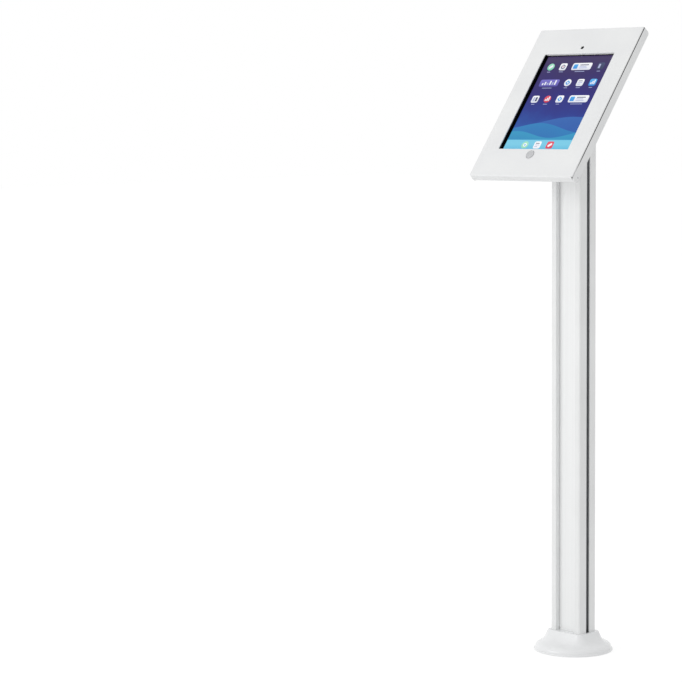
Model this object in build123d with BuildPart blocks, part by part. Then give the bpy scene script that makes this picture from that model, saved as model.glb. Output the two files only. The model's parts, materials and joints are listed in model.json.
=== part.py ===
# Floor stand for a tablet: a round foot, an extruded column and a reclined steel head
# with a hinged front cover, a home button, a cam lock and a tilt pivot.
#
# Origin: the column's axis at floor level. +X to the right, +Y to the back, +Z up.
# The head is drawn on its own face plane: right, up the face, and out of the screen.

from build123d import *
from math import cos, radians, sin
import os

os.makedirs("parts", exist_ok=True)

# Fits
running_gap = 0.05
slip_gap = 0.3
soft_gap = 0.15
overrun = 5.0

# Stance of the head
recline = 37.3
face_height = 815.0
column_setback = 140.0
pivot_rise = 105.0

# Tablet
tablet_width = 169.5
tablet_height = 240.0
tablet_thickness = 7.5
tablet_corner = 10.0
tablet_back_round = 2.5
glass_thickness = 0.8
glass_inset = 0.4
bezel_side = 11.0
bezel_end = 21.7
lens_drop = 8.0

# Head
side_border = 26.75
end_border = 34.0
tablet_raise = 1.0
glass_depth = 5.6
back_room = 3.4
back_sheet = 1.5
side_sheet = 2.0
cover_sheet = 1.5
back_round = 5.0
side_round = 0.8
cover_round = 2.0
cover_edge_round = 1.0
cover_flange = 13.5
cover_gap = 0.5
seam_gap = 1.2
swing_round = 6.0
nest_gap = 0.4
case_front = 4.2
relief_height = 10.5

# Openings in the front cover
window_side_margin = 1.75
window_end_margin = 0.95
window_corner = 0.8
window_edge_round = 0.3
camera_hole = 6.5
button_hole = 16.0
button_drop = 11.0

# Hinge of the front cover
tab_radius = 2.8
tab_spread = 13.0
hinge_rise = 9.0
pin_diameter = 3.0
pin_length = 5.7
pin_recess = 0.3

# Home button
button_proud = 0.9
button_edge_round = 0.4
button_rim = 0.9
button_dish = 0.5
button_travel = 1.0
button_flange = 17.6
button_flange_thickness = 1.0
button_stem = 12.4
guide_diameter = 20.4
guide_ledge = 1.2
button_spring_thickness = 0.4

# Foam behind the window and round the tablet
pad_width = 7.0
pad_setback = 1.5
top_pad_width = 7.0
corner_pad_leg = 40.0
corner_pad_width = 9.0
corner_pad_front = 1.2
back_pad_size = 32.0
back_pad_inset = 8.0

# Cam lock
lock_drop = 18.0
lock_barrel = 14.0
lock_flange = 18.0
lock_flange_thickness = 1.8
lock_front = 7.4
plug_diameter = 9.0
key_slot_width = 1.2
key_slot_length = 6.0
key_slot_depth = 5.0
cam_thickness = 2.0
cam_width = 8.0
cam_reach = 12.5
cam_gap = 0.2
cam_screw_diameter = 4.0
cam_screw_head = 7.5
cam_screw_head_height = 2.0
cam_screw_length = 8.0
cam_screw_socket = 3.0
ring_diameter = 20.0
ring_thickness = 2.5
catch_sheet = 1.0
catch_width = 24.0
catch_lip = 6.5
catch_clearance = 0.4

# Bracket between head and pivot
bracket_width = 100.0
bracket_height = 100.0
bracket_sheet = 3.0
bracket_corner = 8.0
bracket_pitch = 75.0
ear_sheet = 3.0
ear_radius = 14.0
ear_root = 58.0
bracket_screw_diameter = 5.0
bracket_screw_head = 9.5
bracket_screw_head_height = 2.8
bracket_screw_socket = 3.0
bracket_screw_socket_depth = 1.6
bracket_hole_gap = 0.25
clinch_nut_diameter = 9.0
clinch_nut_thickness = 2.8

# Tilt pivot
bolt_diameter = 8.0
bolt_head = 13.0
bolt_head_height = 5.3
bolt_end = 2.0
nut_height = 8.0
washer_diameter = 22.0
washer_thickness = 1.0
hex_chamfer = 0.8
lug_width = 30.0
lug_radius = 14.0
lug_root = 34.0
lug_rise = 33.0
block_plate = 6.0
block_edge = 1.0
plug_depth = 30.0
plug_gap = 0.25
plug_lead = 1.5

# Column
column_width = 64.5
column_depth = 43.0
column_corner = 4.0
lip_width = 11.75
lip_round = 1.0
recess_depth = 9.4
web = 2.0
slot_width = 8.0
slot_lip = 2.0
slot_round = 0.6
pocket_width = 14.0
pocket_depth = 8.0
boss_inset_x = 6.25
boss_inset_y = 6.5
infill_thickness = 2.0
infill_gap = 0.3
infill_round = 0.5

# Charging lead's way out of the column and into the head
exit_drop = 60.0
exit_diameter = 14.0
head_hole_diameter = 20.0
head_hole_gap = 3.5
grommet_wall = 2.4
grommet_lip = 2.5
grommet_lip_thickness = 1.3

# Countersunk screws at both ends of the column
screw_diameter = 6.0
screw_head = 11.0
screw_length = 24.0
screw_socket = 4.0
screw_socket_depth = 2.0
screw_tip = 0.8

# Foot
plate_diameter = 116.0
plate_thickness = 6.0
plate_chamfer = 1.0
anchor_circle = 90.0
anchor_hole = 9.0
anchor_count = 4
anchor_angle = 45.0
cable_hole = 16.0

# Bell cover of the foot
bell_diameter = 135.0
bell_wall = 2.2
bell_drop = 1.4
bell_floor_gap = 0.4
bell_rim_height = 3.0
bell_rim_round = 2.0
bell_collar_gap = 0.25
bell_collar_round = 0.6
bell_rim_inset = 2.3
collar_top = 33.0
collar_reach = 6.0
waist_height = 26.0
waist_reach = 9.3
neck_height = 20.0
neck_reach = 14.0
neck_round = 8.0
flare_height = 14.0
flare_reach_x = 54.0
flare_reach_y = 50.0
flare_round = 43.0
skirt_height = 9.3
skirt_reach = 63.0
skirt_flat = 1.0

# Worked out from the values above
head_width = tablet_width + 2 * side_border
head_height = tablet_height + 2 * end_border
head_depth = glass_depth + tablet_thickness + back_room + back_sheet
panel_front = head_depth - back_sheet
side_inside = head_width / 2 - side_sheet
cover_width = 2 * (side_inside - cover_gap)
tablet_centre = head_height / 2 + tablet_raise
tablet_back = glass_depth + tablet_thickness
tablet_top = tablet_centre + tablet_height / 2
display_width = tablet_width - 2 * bezel_side
display_height = tablet_height - 2 * bezel_end
window_width = display_width + 2 * window_side_margin
window_height = display_height + 2 * window_end_margin
window_bottom = tablet_centre - window_height / 2
window_top = tablet_centre + window_height / 2
button_rise = window_bottom - button_drop
camera_rise = tablet_top - lens_drop
case_end = cover_sheet + nest_gap
wall_front = cover_sheet + seam_gap
hinge_depth = cover_flange
pin_radius = pin_diameter / 2
bracket_centre = head_height / 2
head_lip = head_hole_diameter + 2 * grommet_lip
head_hole_rise = bracket_centre - bracket_height / 2 - head_hole_gap - head_lip / 2

bell_radius = bell_diameter / 2
half_width = column_width / 2
half_depth = column_depth / 2
pivot_height = face_height + pivot_rise
column_top = pivot_height - lug_rise - block_plate
column_length = column_top - plate_thickness
recess_width = column_width - 2 * lip_width
infill_back = recess_depth + infill_thickness
chamber_width = column_width - 2 * (slot_lip + pocket_depth + web)
chamber_depth = column_depth - 2 * (infill_back + web)
boss_x = column_width / 2 - boss_inset_x
boss_y = column_depth / 2 - boss_inset_y
exit_height = column_top - exit_drop

# The head's face plane, and the plane of its side view: up the face, out of the screen
face = Plane(
    origin=(0, -column_setback, face_height),
    x_dir=(1, 0, 0),
    z_dir=(0, -cos(radians(recline)), sin(radians(recline))),
)
side = Plane(origin=face.origin, x_dir=face.y_dir, z_dir=face.x_dir)
pivot = Vector(0, 0, pivot_height)
pivot_up = (pivot - face.origin).dot(face.y_dir)
pivot_depth = -(pivot - face.origin).dot(face.z_dir)


def spot(across, up, depth):
    """The plane at a place of the head, parallel to the face."""
    place = face.from_local_coords((across, up, -depth))
    return Plane(origin=place, x_dir=face.x_dir, z_dir=face.z_dir)


def both_sides(inner, thickness):
    """The two side view planes from which a wall at each side is drawn to the right."""
    return side.offset(inner), side.offset(-inner - thickness)


def ring(plane, outer, inner, thickness):
    """A flat ring that rises from a plane."""
    with BuildPart() as band:
        with BuildSketch(plane):
            Circle(outer / 2)
            Circle(inner / 2, mode=Mode.SUBTRACT)
        extrude(amount=thickness)
    return band.part


# Foot: the steel disc that is bolted to the floor
with BuildPart() as base_plate:
    with BuildSketch():
        Circle(plate_diameter / 2)
        Circle(cable_hole / 2, mode=Mode.SUBTRACT)
        with PolarLocations(anchor_circle / 2, anchor_count, start_angle=anchor_angle):
            Circle(anchor_hole / 2, mode=Mode.SUBTRACT)
    extrude(amount=plate_thickness)
    top_rim = base_plate.edges().group_by(Axis.Z)[-1].sort_by(SortBy.LENGTH)[-1]
    chamfer(top_rim, plate_chamfer)
    with Locations(Plane(origin=(0, 0, 0), z_dir=(0, 0, -1))):
        with GridLocations(2 * boss_x, 2 * boss_y, 2, 2):
            CounterSinkHole(screw_diameter / 2 + slip_gap, screw_head / 2 + slip_gap)
base_plate.part.label = "base_plate"
export_step(base_plate.part, "parts/base_plate.step")

# Foot: the bell that hides the disc, rectangular at the column and round at the floor.
# A tongue at front and back fills the column's recess at the collar.
# Each section is its height, its reach along X and Y from the axis, and its corner radius.
bell_sections = (
    (collar_top, half_width + collar_reach, half_depth + collar_reach, column_corner + collar_reach),
    (waist_height, half_width + waist_reach, half_depth + waist_reach, column_corner + waist_reach),
    (neck_height, half_width + neck_reach, half_depth + neck_reach, neck_round + neck_reach),
    (flare_height, flare_reach_x, flare_reach_y, flare_round),
    (skirt_height, skirt_reach, skirt_reach, skirt_reach - skirt_flat),
    (
        bell_floor_gap + bell_rim_height,
        bell_radius - bell_rim_inset,
        bell_radius - bell_rim_inset,
        bell_radius - bell_rim_inset - skirt_flat,
    ),
)


def bell(inset, drop, straight):
    """The flared body of the bell, drawn in by an inset and lowered by a drop."""
    with BuildPart() as flared:
        for height, reach_x, reach_y, corner in bell_sections:
            with BuildSketch(Plane.XY.offset(height - drop)):
                RectangleRounded(2 * (reach_x - inset), 2 * (reach_y - inset), corner - inset)
        loft(ruled=straight)
    return flared.part


bell_outside = bell(0, 0, straight=False)
bell_inside = bell(bell_wall, bell_drop, straight=True)
with BuildPart() as base_cover:
    add(bell_outside)
    collar_edge = base_cover.edges().group_by(Axis.Z)[-1]
    fillet(collar_edge, bell_collar_round)
    with BuildSketch(Plane.XZ) as rim:
        with Locations((0, bell_floor_gap)):
            Rectangle(bell_radius, bell_rim_height, align=Align.MIN)
        fillet(rim.vertices().group_by(Axis.X)[-1].sort_by(Axis.Y)[-1], bell_rim_round)
    revolve(axis=Axis.Z)
    add(bell_inside, mode=Mode.SUBTRACT)
    with BuildSketch():
        Circle(bell_radius - bell_rim_inset - bell_wall)
    extrude(amount=bell_floor_gap + bell_rim_height - bell_drop, mode=Mode.SUBTRACT)
    with BuildSketch(Plane.XY.offset(plate_thickness)):
        RectangleRounded(
            column_width + 2 * bell_collar_gap,
            column_depth + 2 * bell_collar_gap,
            column_corner + bell_collar_gap,
        )
        with Locations((0, -column_depth / 2), (0, column_depth / 2)):
            Rectangle(
                recess_width - 2 * bell_collar_gap,
                2 * (recess_depth - bell_collar_gap),
                mode=Mode.SUBTRACT,
            )
    extrude(amount=collar_top, mode=Mode.SUBTRACT)
base_cover.part.label = "base_cover"
export_step(base_cover.part, "parts/base_cover.step")

# Countersunk socket screw with its head's flat on top
with BuildPart() as countersunk_screw:
    with BuildSketch(Plane.XZ):
        with BuildLine():
            Polyline(
                (0, 0),
                (screw_head / 2, 0),
                (screw_diameter / 2, (screw_diameter - screw_head) / 2),
                (screw_diameter / 2, screw_tip - screw_length),
                (screw_diameter / 2 - screw_tip, -screw_length),
                (0, -screw_length),
                close=True,
            )
        make_face()
    revolve(axis=Axis.Z)
    with BuildSketch():
        RegularPolygon(screw_socket / 2, 6, major_radius=False)
    extrude(amount=-screw_socket_depth, mode=Mode.SUBTRACT)

with BuildPart() as base_screws:
    with Locations(Plane(origin=(0, 0, 0), z_dir=(0, 0, -1))):
        with GridLocations(2 * boss_x, 2 * boss_y, 2, 2):
            add(countersunk_screw.part)
base_screws.part.label = "base_screws"
export_step(base_screws.part, "parts/base_screws.step")

with BuildPart() as block_screws:
    with Locations((0, 0, column_top + block_plate)):
        with GridLocations(2 * boss_x, 2 * boss_y, 2, 2):
            add(countersunk_screw.part)
block_screws.part.label = "block_screws"
export_step(block_screws.part, "parts/block_screws.step")

# Column: recess at front and back, slot with a pocket at each side, chamber in the middle
with BuildPart() as column:
    with BuildSketch(Plane.XY.offset(plate_thickness)) as section:
        RectangleRounded(column_width, column_depth, column_corner)
        with Locations((0, -column_depth / 2), (0, column_depth / 2)):
            Rectangle(recess_width, 2 * infill_back, mode=Mode.SUBTRACT)
        front_row = section.vertices().group_by(Axis.Y)[0].sort_by(Axis.X)
        rear_row = section.vertices().group_by(Axis.Y)[-1].sort_by(Axis.X)
        fillet(front_row[1:3] + rear_row[1:3], lip_round)
        with Locations((-column_width / 2, 0), (column_width / 2, 0)):
            Rectangle(2 * (slot_lip + overrun), slot_width, mode=Mode.SUBTRACT)
        left_row = section.vertices().group_by(Axis.X)[0].sort_by(Axis.Y)
        right_row = section.vertices().group_by(Axis.X)[-1].sort_by(Axis.Y)
        fillet(left_row[1:3] + right_row[1:3], slot_round)
        pocket_x = column_width / 2 - slot_lip - pocket_depth / 2
        with Locations((-pocket_x, 0), (pocket_x, 0)):
            Rectangle(pocket_depth, pocket_width, mode=Mode.SUBTRACT)
        Rectangle(chamber_width, chamber_depth, mode=Mode.SUBTRACT)
        with GridLocations(2 * boss_x, 2 * boss_y, 2, 2):
            Circle(screw_diameter / 2 + running_gap, mode=Mode.SUBTRACT)
    extrude(amount=column_length)
    with BuildSketch(Plane.XZ.offset(-column_depth / 2)):
        with Locations((0, exit_height)):
            Circle(exit_diameter / 2)
    extrude(amount=infill_back + web, mode=Mode.SUBTRACT)
column.part.label = "column"
export_step(column.part, "parts/column.step")


def infill_strip(direction):
    """The flat strip in the recess that faces one way along Y, with rounded long edges."""
    with BuildPart() as strip:
        with BuildSketch(Plane.XY.offset(plate_thickness)) as flat:
            with Locations((0, direction * (column_depth - recess_depth - infill_back) / 2)):
                Rectangle(recess_width - 2 * infill_gap, infill_thickness)
            outer = flat.vertices().group_by(Axis.Y)[-1 if direction > 0 else 0]
            fillet(outer, infill_round)
        extrude(amount=column_length)
    return strip.part


front_strip = infill_strip(-1)
with BuildPart() as front_infill:
    add(front_strip)
front_infill.part.label = "front_infill"
export_step(front_infill.part, "parts/front_infill.step")

rear_strip = infill_strip(1)
with BuildPart() as rear_infill:
    add(rear_strip)
    with BuildSketch(Plane.XZ.offset(-column_depth / 2)):
        with Locations((0, exit_height)):
            Circle(exit_diameter / 2)
    extrude(amount=infill_back, mode=Mode.SUBTRACT)
rear_infill.part.label = "rear_infill"
export_step(rear_infill.part, "parts/rear_infill.step")

# Rubber ring in the column's cable exit: a neck through strip and web, and a lip outside
exit_neck = exit_diameter - 2 * running_gap
exit_bore = exit_diameter - 2 * grommet_wall
with BuildPart() as column_grommet:
    with BuildSketch(Plane.XZ.offset(recess_depth - column_depth / 2)):
        with Locations((0, exit_height)):
            Circle(exit_neck / 2)
    extrude(amount=infill_thickness + web)
    with BuildSketch(Plane.XZ.offset(recess_depth - column_depth / 2)):
        with Locations((0, exit_height)):
            Circle(exit_diameter / 2 + grommet_lip)
    extrude(amount=-grommet_lip_thickness)
    fillet(column_grommet.edges().group_by(Axis.Y)[-1], grommet_lip_thickness / 2)
    with BuildSketch(Plane.XZ.offset(-column_depth / 2)):
        with Locations((0, exit_height)):
            Circle(exit_bore / 2)
    extrude(amount=infill_back + web, mode=Mode.SUBTRACT)
column_grommet.part.label = "column_grommet"
export_step(column_grommet.part, "parts/column_grommet.step")

# Block on the column's top: a plug in the chamber, a plate over the end and the pivot lug
with BuildPart() as tilt_block:
    with BuildSketch(Plane.XY.offset(column_top)):
        RectangleRounded(column_width, column_depth, column_corner)
    extrude(amount=block_plate)
    fillet(tilt_block.edges().group_by(Axis.Z)[-1], block_edge)
    with BuildSketch(Plane.XY.offset(column_top)):
        Rectangle(chamber_width - 2 * plug_gap, chamber_depth - 2 * plug_gap)
    extrude(amount=-plug_depth)
    chamfer(tilt_block.edges().group_by(Axis.Z)[0], plug_lead)
    with BuildSketch(Plane.YZ) as lug:
        with Locations((0, pivot_height)):
            Circle(lug_radius)
        with Locations((0, column_top + block_plate - block_edge)):
            Rectangle(lug_root, block_edge)
        make_hull()
    extrude(amount=lug_width / 2, both=True)
    with BuildSketch(Plane.YZ.offset(-lug_width / 2)):
        with Locations((0, pivot_height)):
            Circle(bolt_diameter / 2 + running_gap)
    extrude(amount=lug_width, mode=Mode.SUBTRACT)
    with Locations((0, 0, column_top + block_plate)):
        with GridLocations(2 * boss_x, 2 * boss_y, 2, 2):
            CounterSinkHole(screw_diameter / 2 + running_gap, screw_head / 2 + running_gap)
tilt_block.part.label = "tilt_block"
export_step(tilt_block.part, "parts/tilt_block.step")

# Tilt pivot: bolt along X, lock nut, and a friction washer at each side of the lug
ear_inside = lug_width / 2 + washer_thickness + 2 * running_gap
ear_outside = ear_inside + ear_sheet
bolt_left = -ear_outside - running_gap
nut_left = ear_outside + running_gap
with BuildPart() as tilt_bolt:
    with BuildSketch(Plane.YZ.offset(bolt_left)):
        with Locations((0, pivot_height)):
            RegularPolygon(bolt_head / 2, 6, major_radius=False)
    extrude(amount=-bolt_head_height)
    chamfer(tilt_bolt.edges().group_by(Axis.X)[0], hex_chamfer)
    with BuildSketch(Plane.YZ.offset(bolt_left)):
        with Locations((0, pivot_height)):
            Circle(bolt_diameter / 2)
    extrude(amount=nut_left + nut_height + bolt_end - bolt_left)
    chamfer(tilt_bolt.edges().group_by(Axis.X)[-1], hex_chamfer)
tilt_bolt.part.label = "tilt_bolt"
export_step(tilt_bolt.part, "parts/tilt_bolt.step")

with BuildPart() as tilt_nut:
    with BuildSketch(Plane.YZ.offset(nut_left)):
        with Locations((0, pivot_height)):
            RegularPolygon(bolt_head / 2, 6, major_radius=False)
            Circle(bolt_diameter / 2 + running_gap, mode=Mode.SUBTRACT)
    extrude(amount=nut_height)
    nut_rim = tilt_nut.edges().group_by(Axis.X)[-1].filter_by(GeomType.LINE)
    chamfer(nut_rim, hex_chamfer)
tilt_nut.part.label = "tilt_nut"
export_step(tilt_nut.part, "parts/tilt_nut.step")

washer_left = -lug_width / 2 - running_gap - washer_thickness
with BuildPart() as friction_washers:
    with BuildSketch(Plane.YZ.offset(washer_left), Plane.YZ.offset(lug_width / 2 + running_gap)):
        with Locations((0, pivot_height)):
            Circle(washer_diameter / 2)
            Circle(bolt_diameter / 2 + running_gap, mode=Mode.SUBTRACT)
    extrude(amount=washer_thickness)
friction_washers.part.label = "friction_washers"
export_step(friction_washers.part, "parts/friction_washers.step")

# Bracket on the head's back: a plate and two ears that reach down to the pivot
with BuildPart() as tilt_bracket:
    with BuildSketch(spot(0, bracket_centre, head_depth + bracket_sheet)):
        RectangleRounded(bracket_width, bracket_height, bracket_corner)
        with GridLocations(bracket_pitch, bracket_pitch, 2, 2):
            Circle(bracket_screw_diameter / 2 + bracket_hole_gap, mode=Mode.SUBTRACT)
    extrude(amount=bracket_sheet)
    with BuildSketch(*both_sides(ear_inside, ear_sheet)) as ears:
        with Locations((pivot_up, -pivot_depth)):
            Circle(ear_radius)
        with Locations((pivot_up, -head_depth - bracket_sheet / 2)):
            Rectangle(ear_root, bracket_sheet)
        make_hull()
        with Locations((pivot_up, -pivot_depth)):
            Circle(bolt_diameter / 2 + running_gap, mode=Mode.SUBTRACT)
    extrude(amount=ear_sheet)
tilt_bracket.part.label = "tilt_bracket"
export_step(tilt_bracket.part, "parts/tilt_bracket.step")

# Pan head screws through the bracket into clinch nuts inside the back panel
nut_front = panel_front - clinch_nut_thickness
with BuildPart() as bracket_screws:
    with BuildSketch(spot(0, bracket_centre, head_depth + bracket_sheet)):
        with GridLocations(bracket_pitch, bracket_pitch, 2, 2):
            Circle(bracket_screw_head / 2)
    extrude(amount=-bracket_screw_head_height)
    pan_rims = bracket_screws.faces().sort_by(Axis(face.origin, face.z_dir))[:anchor_count].edges()
    fillet(pan_rims, bracket_screw_head_height / 2)
    with BuildSketch(spot(0, bracket_centre, head_depth + bracket_sheet)):
        with GridLocations(bracket_pitch, bracket_pitch, 2, 2):
            Circle(bracket_screw_diameter / 2)
    extrude(amount=head_depth + bracket_sheet - nut_front)
    with BuildSketch(spot(0, bracket_centre, head_depth + bracket_sheet + bracket_screw_head_height)):
        with GridLocations(bracket_pitch, bracket_pitch, 2, 2):
            RegularPolygon(bracket_screw_socket / 2, 6, major_radius=False)
    extrude(amount=bracket_screw_socket_depth, mode=Mode.SUBTRACT)
bracket_screws.part.label = "bracket_screws"
export_step(bracket_screws.part, "parts/bracket_screws.step")

nut_bore = bracket_screw_diameter + 2 * running_gap
clinch_nut = ring(Plane.XY, clinch_nut_diameter, nut_bore, clinch_nut_thickness)
with BuildPart() as clinch_nuts:
    with Locations(spot(0, bracket_centre, panel_front)):
        with GridLocations(bracket_pitch, bracket_pitch, 2, 2):
            add(clinch_nut)
clinch_nuts.part.label = "clinch_nuts"
export_step(clinch_nuts.part, "parts/clinch_nuts.step")

# Rear case: back panel folded up at top and bottom, with a flat wall at each side
relief_inside = cover_width / 2 - cover_sheet - cover_gap
with BuildPart() as rear_case:
    with BuildSketch(side) as tray:
        with Locations((head_height / 2, -case_front)):
            Rectangle(
                head_height - 2 * case_end,
                head_depth - case_front,
                align=(Align.CENTER, Align.MAX),
            )
        fillet(tray.vertices().group_by(Axis.Y)[0], back_round)
        with Locations((head_height / 2, 0)):
            Rectangle(
                head_height - 2 * (case_end + back_sheet),
                panel_front,
                align=(Align.CENTER, Align.MAX),
                mode=Mode.SUBTRACT,
            )
        fillet(tray.vertices().group_by(Axis.Y)[1], back_round - back_sheet)
    extrude(amount=side_inside, both=True)
    with BuildSketch(side.offset(relief_inside), side.offset(-side_inside)):
        with Locations((0, 0), (head_height - relief_height, 0)):
            Rectangle(relief_height, head_depth + overrun, align=(Align.MIN, Align.MAX))
    extrude(amount=side_inside - relief_inside, mode=Mode.SUBTRACT)
    with BuildSketch(*both_sides(side_inside, side_sheet)) as wall:
        with Locations((0, -wall_front)):
            Rectangle(head_height, head_depth - wall_front, align=(Align.MIN, Align.MAX))
        fillet(wall.vertices().group_by(Axis.Y)[0], back_round)
        front_corners = wall.vertices().group_by(Axis.Y)[-1].sort_by(Axis.X)
        fillet(front_corners[0], swing_round)
        fillet(front_corners[-1], side_round)
        with Locations((hinge_rise, -hinge_depth)):
            Circle(pin_radius, mode=Mode.SUBTRACT)
    extrude(amount=side_sheet)
    long_edges = rear_case.edges().filter_by(Axis(face.origin, face.y_dir))
    fillet(long_edges.group_by(Axis.X)[0] + long_edges.group_by(Axis.X)[-1], side_round)
    with BuildSketch(face.offset(-head_depth)):
        with Locations((0, bracket_centre)):
            with GridLocations(bracket_pitch, bracket_pitch, 2, 2):
                Circle(bracket_screw_diameter / 2 + bracket_hole_gap)
        with Locations((0, head_hole_rise)):
            Circle(head_hole_diameter / 2)
        with Locations((0, head_height - lock_drop)):
            Circle(lock_barrel / 2 + running_gap)
    extrude(amount=back_sheet, mode=Mode.SUBTRACT)
rear_case.part.label = "rear_case"
export_step(rear_case.part, "parts/rear_case.step")

# Rubber ring in the head's cable hole: a lip at each face of the back panel
head_neck = head_hole_diameter - 2 * running_gap
head_bore = head_hole_diameter - 2 * grommet_wall
with BuildPart() as head_grommet:
    with BuildSketch(spot(0, head_hole_rise, head_depth)):
        Circle(head_neck / 2)
    extrude(amount=back_sheet)
    with BuildSketch(spot(0, head_hole_rise, panel_front)):
        Circle(head_lip / 2)
    extrude(amount=grommet_lip_thickness)
    with BuildSketch(spot(0, head_hole_rise, head_depth)):
        Circle(head_lip / 2)
    extrude(amount=-grommet_lip_thickness)
    outer_lip = head_grommet.faces().sort_by(Axis(face.origin, face.z_dir))[0].edges()
    fillet(outer_lip, grommet_lip_thickness / 2)
    with BuildSketch(spot(0, head_hole_rise, head_depth + grommet_lip_thickness)):
        Circle(head_bore / 2)
    extrude(amount=back_sheet + 2 * grommet_lip_thickness, mode=Mode.SUBTRACT)
head_grommet.part.label = "head_grommet"
export_step(head_grommet.part, "parts/head_grommet.step")

# Hinge pins: pressed into the side walls, and the cover's tabs turn on them
pin_outer = head_width / 2 - pin_recess
with BuildPart() as hinge_pins:
    with BuildSketch(*both_sides(pin_outer - pin_length, pin_length)):
        with Locations((hinge_rise, -hinge_depth)):
            Circle(pin_radius)
    extrude(amount=pin_length)
hinge_pins.part.label = "hinge_pins"
export_step(hinge_pins.part, "parts/hinge_pins.step")

# Front cover: face plate that lies over the walls' front edges, with a flange at top and
# bottom and a hinge tab at each side between the walls
with BuildPart() as front_cover:
    with BuildSketch(side.offset(-cover_width / 2)) as fold:
        Rectangle(head_height, cover_flange, align=(Align.MIN, Align.MAX))
        fillet(fold.vertices().group_by(Axis.Y)[-1], cover_round)
        with Locations((head_height / 2, -cover_sheet)):
            Rectangle(
                head_height - 2 * cover_sheet,
                cover_flange,
                align=(Align.CENTER, Align.MAX),
                mode=Mode.SUBTRACT,
            )
        fillet(fold.vertices().group_by(Axis.Y)[-2], cover_round - cover_sheet)
    extrude(amount=cover_width)
    with BuildSketch(face.offset(-cover_sheet)):
        with Locations((0, head_height / 2)):
            Rectangle(head_width, head_height - 2 * cover_round)
    extrude(amount=cover_sheet)
    front_plate = front_cover.faces().sort_by(Axis(face.origin, face.z_dir))[-1]
    fillet(front_plate.edges().filter_by(Axis(face.origin, face.y_dir)), cover_edge_round)
    with BuildSketch(face.offset(-cover_sheet)):
        with Locations((0, tablet_centre)):
            RectangleRounded(window_width, window_height, window_corner)
        with Locations((0, camera_rise)):
            Circle(camera_hole / 2)
        with Locations((0, button_rise)):
            Circle(button_hole / 2)
    extrude(amount=cover_sheet, mode=Mode.SUBTRACT)
    face_plate = front_cover.faces().sort_by(Axis(face.origin, face.z_dir))[-1]
    hole_rims = [edge for wire in face_plate.inner_wires() for edge in wire.edges()]
    fillet(hole_rims, window_edge_round)
    with BuildSketch(*both_sides(cover_width / 2 - cover_sheet, cover_sheet)):
        with BuildLine():
            Polyline(
                (hinge_rise - tab_radius, -cover_sheet / 2),
                (hinge_rise - tab_radius, -hinge_depth),
                (hinge_rise + tab_radius, -hinge_depth),
                (hinge_rise + tab_spread, -cover_sheet),
                (hinge_rise + tab_spread, -cover_sheet / 2),
                close=True,
            )
        make_face()
        with Locations((hinge_rise, -hinge_depth)):
            Circle(tab_radius)
            Circle(pin_radius + running_gap, mode=Mode.SUBTRACT)
    extrude(amount=cover_sheet)
front_cover.part.label = "front_cover"
export_step(front_cover.part, "parts/front_cover.step")

# Foam strips behind the cover: two at the sides, two below the window and one above it
pad_front = cover_sheet
pad_back = glass_depth - soft_gap
pad_inner = window_width / 2 + pad_setback
pad_outer = pad_inner + pad_width
low_pad_start = guide_diameter / 2 + pad_setback
with BuildPart() as window_pads:
    with BuildSketch(face.offset(-pad_back)):
        with Locations((0, tablet_centre)):
            Rectangle(2 * pad_outer, window_height)
            Rectangle(2 * pad_inner, window_height, mode=Mode.SUBTRACT)
        with Locations((low_pad_start, window_bottom - pad_setback)):
            Rectangle(pad_outer - low_pad_start, pad_width, align=(Align.MIN, Align.MAX))
        with Locations((-low_pad_start, window_bottom - pad_setback)):
            Rectangle(pad_outer - low_pad_start, pad_width, align=(Align.MAX, Align.MAX))
    extrude(amount=pad_back - pad_front)
window_pads.part.label = "window_pads"
export_step(window_pads.part, "parts/window_pads.step")

with BuildPart() as top_tape:
    with BuildSketch(face.offset(-pad_back)):
        with Locations((0, window_top + soft_gap)):
            Rectangle(display_width, top_pad_width - soft_gap, align=(Align.CENTER, Align.MIN))
    extrude(amount=pad_back - pad_front)
top_tape.part.label = "top_tape"
export_step(top_tape.part, "parts/top_tape.step")

# Home button: dished cap in the cover's hole, flange behind it and a stem to the glass
cap_radius = button_hole / 2 - slip_gap
flange_front = -cover_sheet - running_gap
flange_back = flange_front - button_flange_thickness
stem_back = button_travel + 2 * running_gap - glass_depth
button_cut = Plane(origin=face.from_local_coords((0, button_rise, 0)), x_dir=face.x_dir, z_dir=-face.y_dir)
button_axis = Axis(button_cut.origin, face.z_dir)
with BuildPart() as home_button:
    with BuildSketch(button_cut):
        with BuildLine():
            Polyline(
                (0, button_proud - button_dish),
                (0, stem_back),
                (button_stem / 2, stem_back),
                (button_stem / 2, flange_back),
                (button_flange / 2, flange_back),
                (button_flange / 2, flange_front),
                (cap_radius, flange_front),
                (cap_radius, button_proud),
                (cap_radius - button_rim, button_proud),
            )
            TangentArc(
                (0, button_proud - button_dish),
                (cap_radius - button_rim, button_proud),
                tangent=(1, 0),
            )
        make_face()
    revolve(axis=button_axis)
    cap_rim = home_button.edges().sort_by(Axis(face.origin, face.z_dir)).filter_by(GeomType.CIRCLE)
    fillet(cap_rim[-2:].sort_by(SortBy.RADIUS)[-1], button_edge_round)
home_button.part.label = "home_button"
export_step(home_button.part, "parts/home_button.step")

# Ring behind the cover that guides the button, with a ledge for its flat return spring
guide_back = glass_depth - soft_gap
pocket_floor = guide_back - guide_ledge
with BuildPart() as button_guide:
    with BuildSketch(spot(0, button_rise, guide_back)):
        Circle(guide_diameter / 2)
        Circle(button_stem / 2 + slip_gap, mode=Mode.SUBTRACT)
    extrude(amount=guide_back - cover_sheet)
    with BuildSketch(spot(0, button_rise, pocket_floor)):
        Circle(button_flange / 2 + slip_gap)
    extrude(amount=pocket_floor - cover_sheet, mode=Mode.SUBTRACT)
button_guide.part.label = "button_guide"
export_step(button_guide.part, "parts/button_guide.step")

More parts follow.
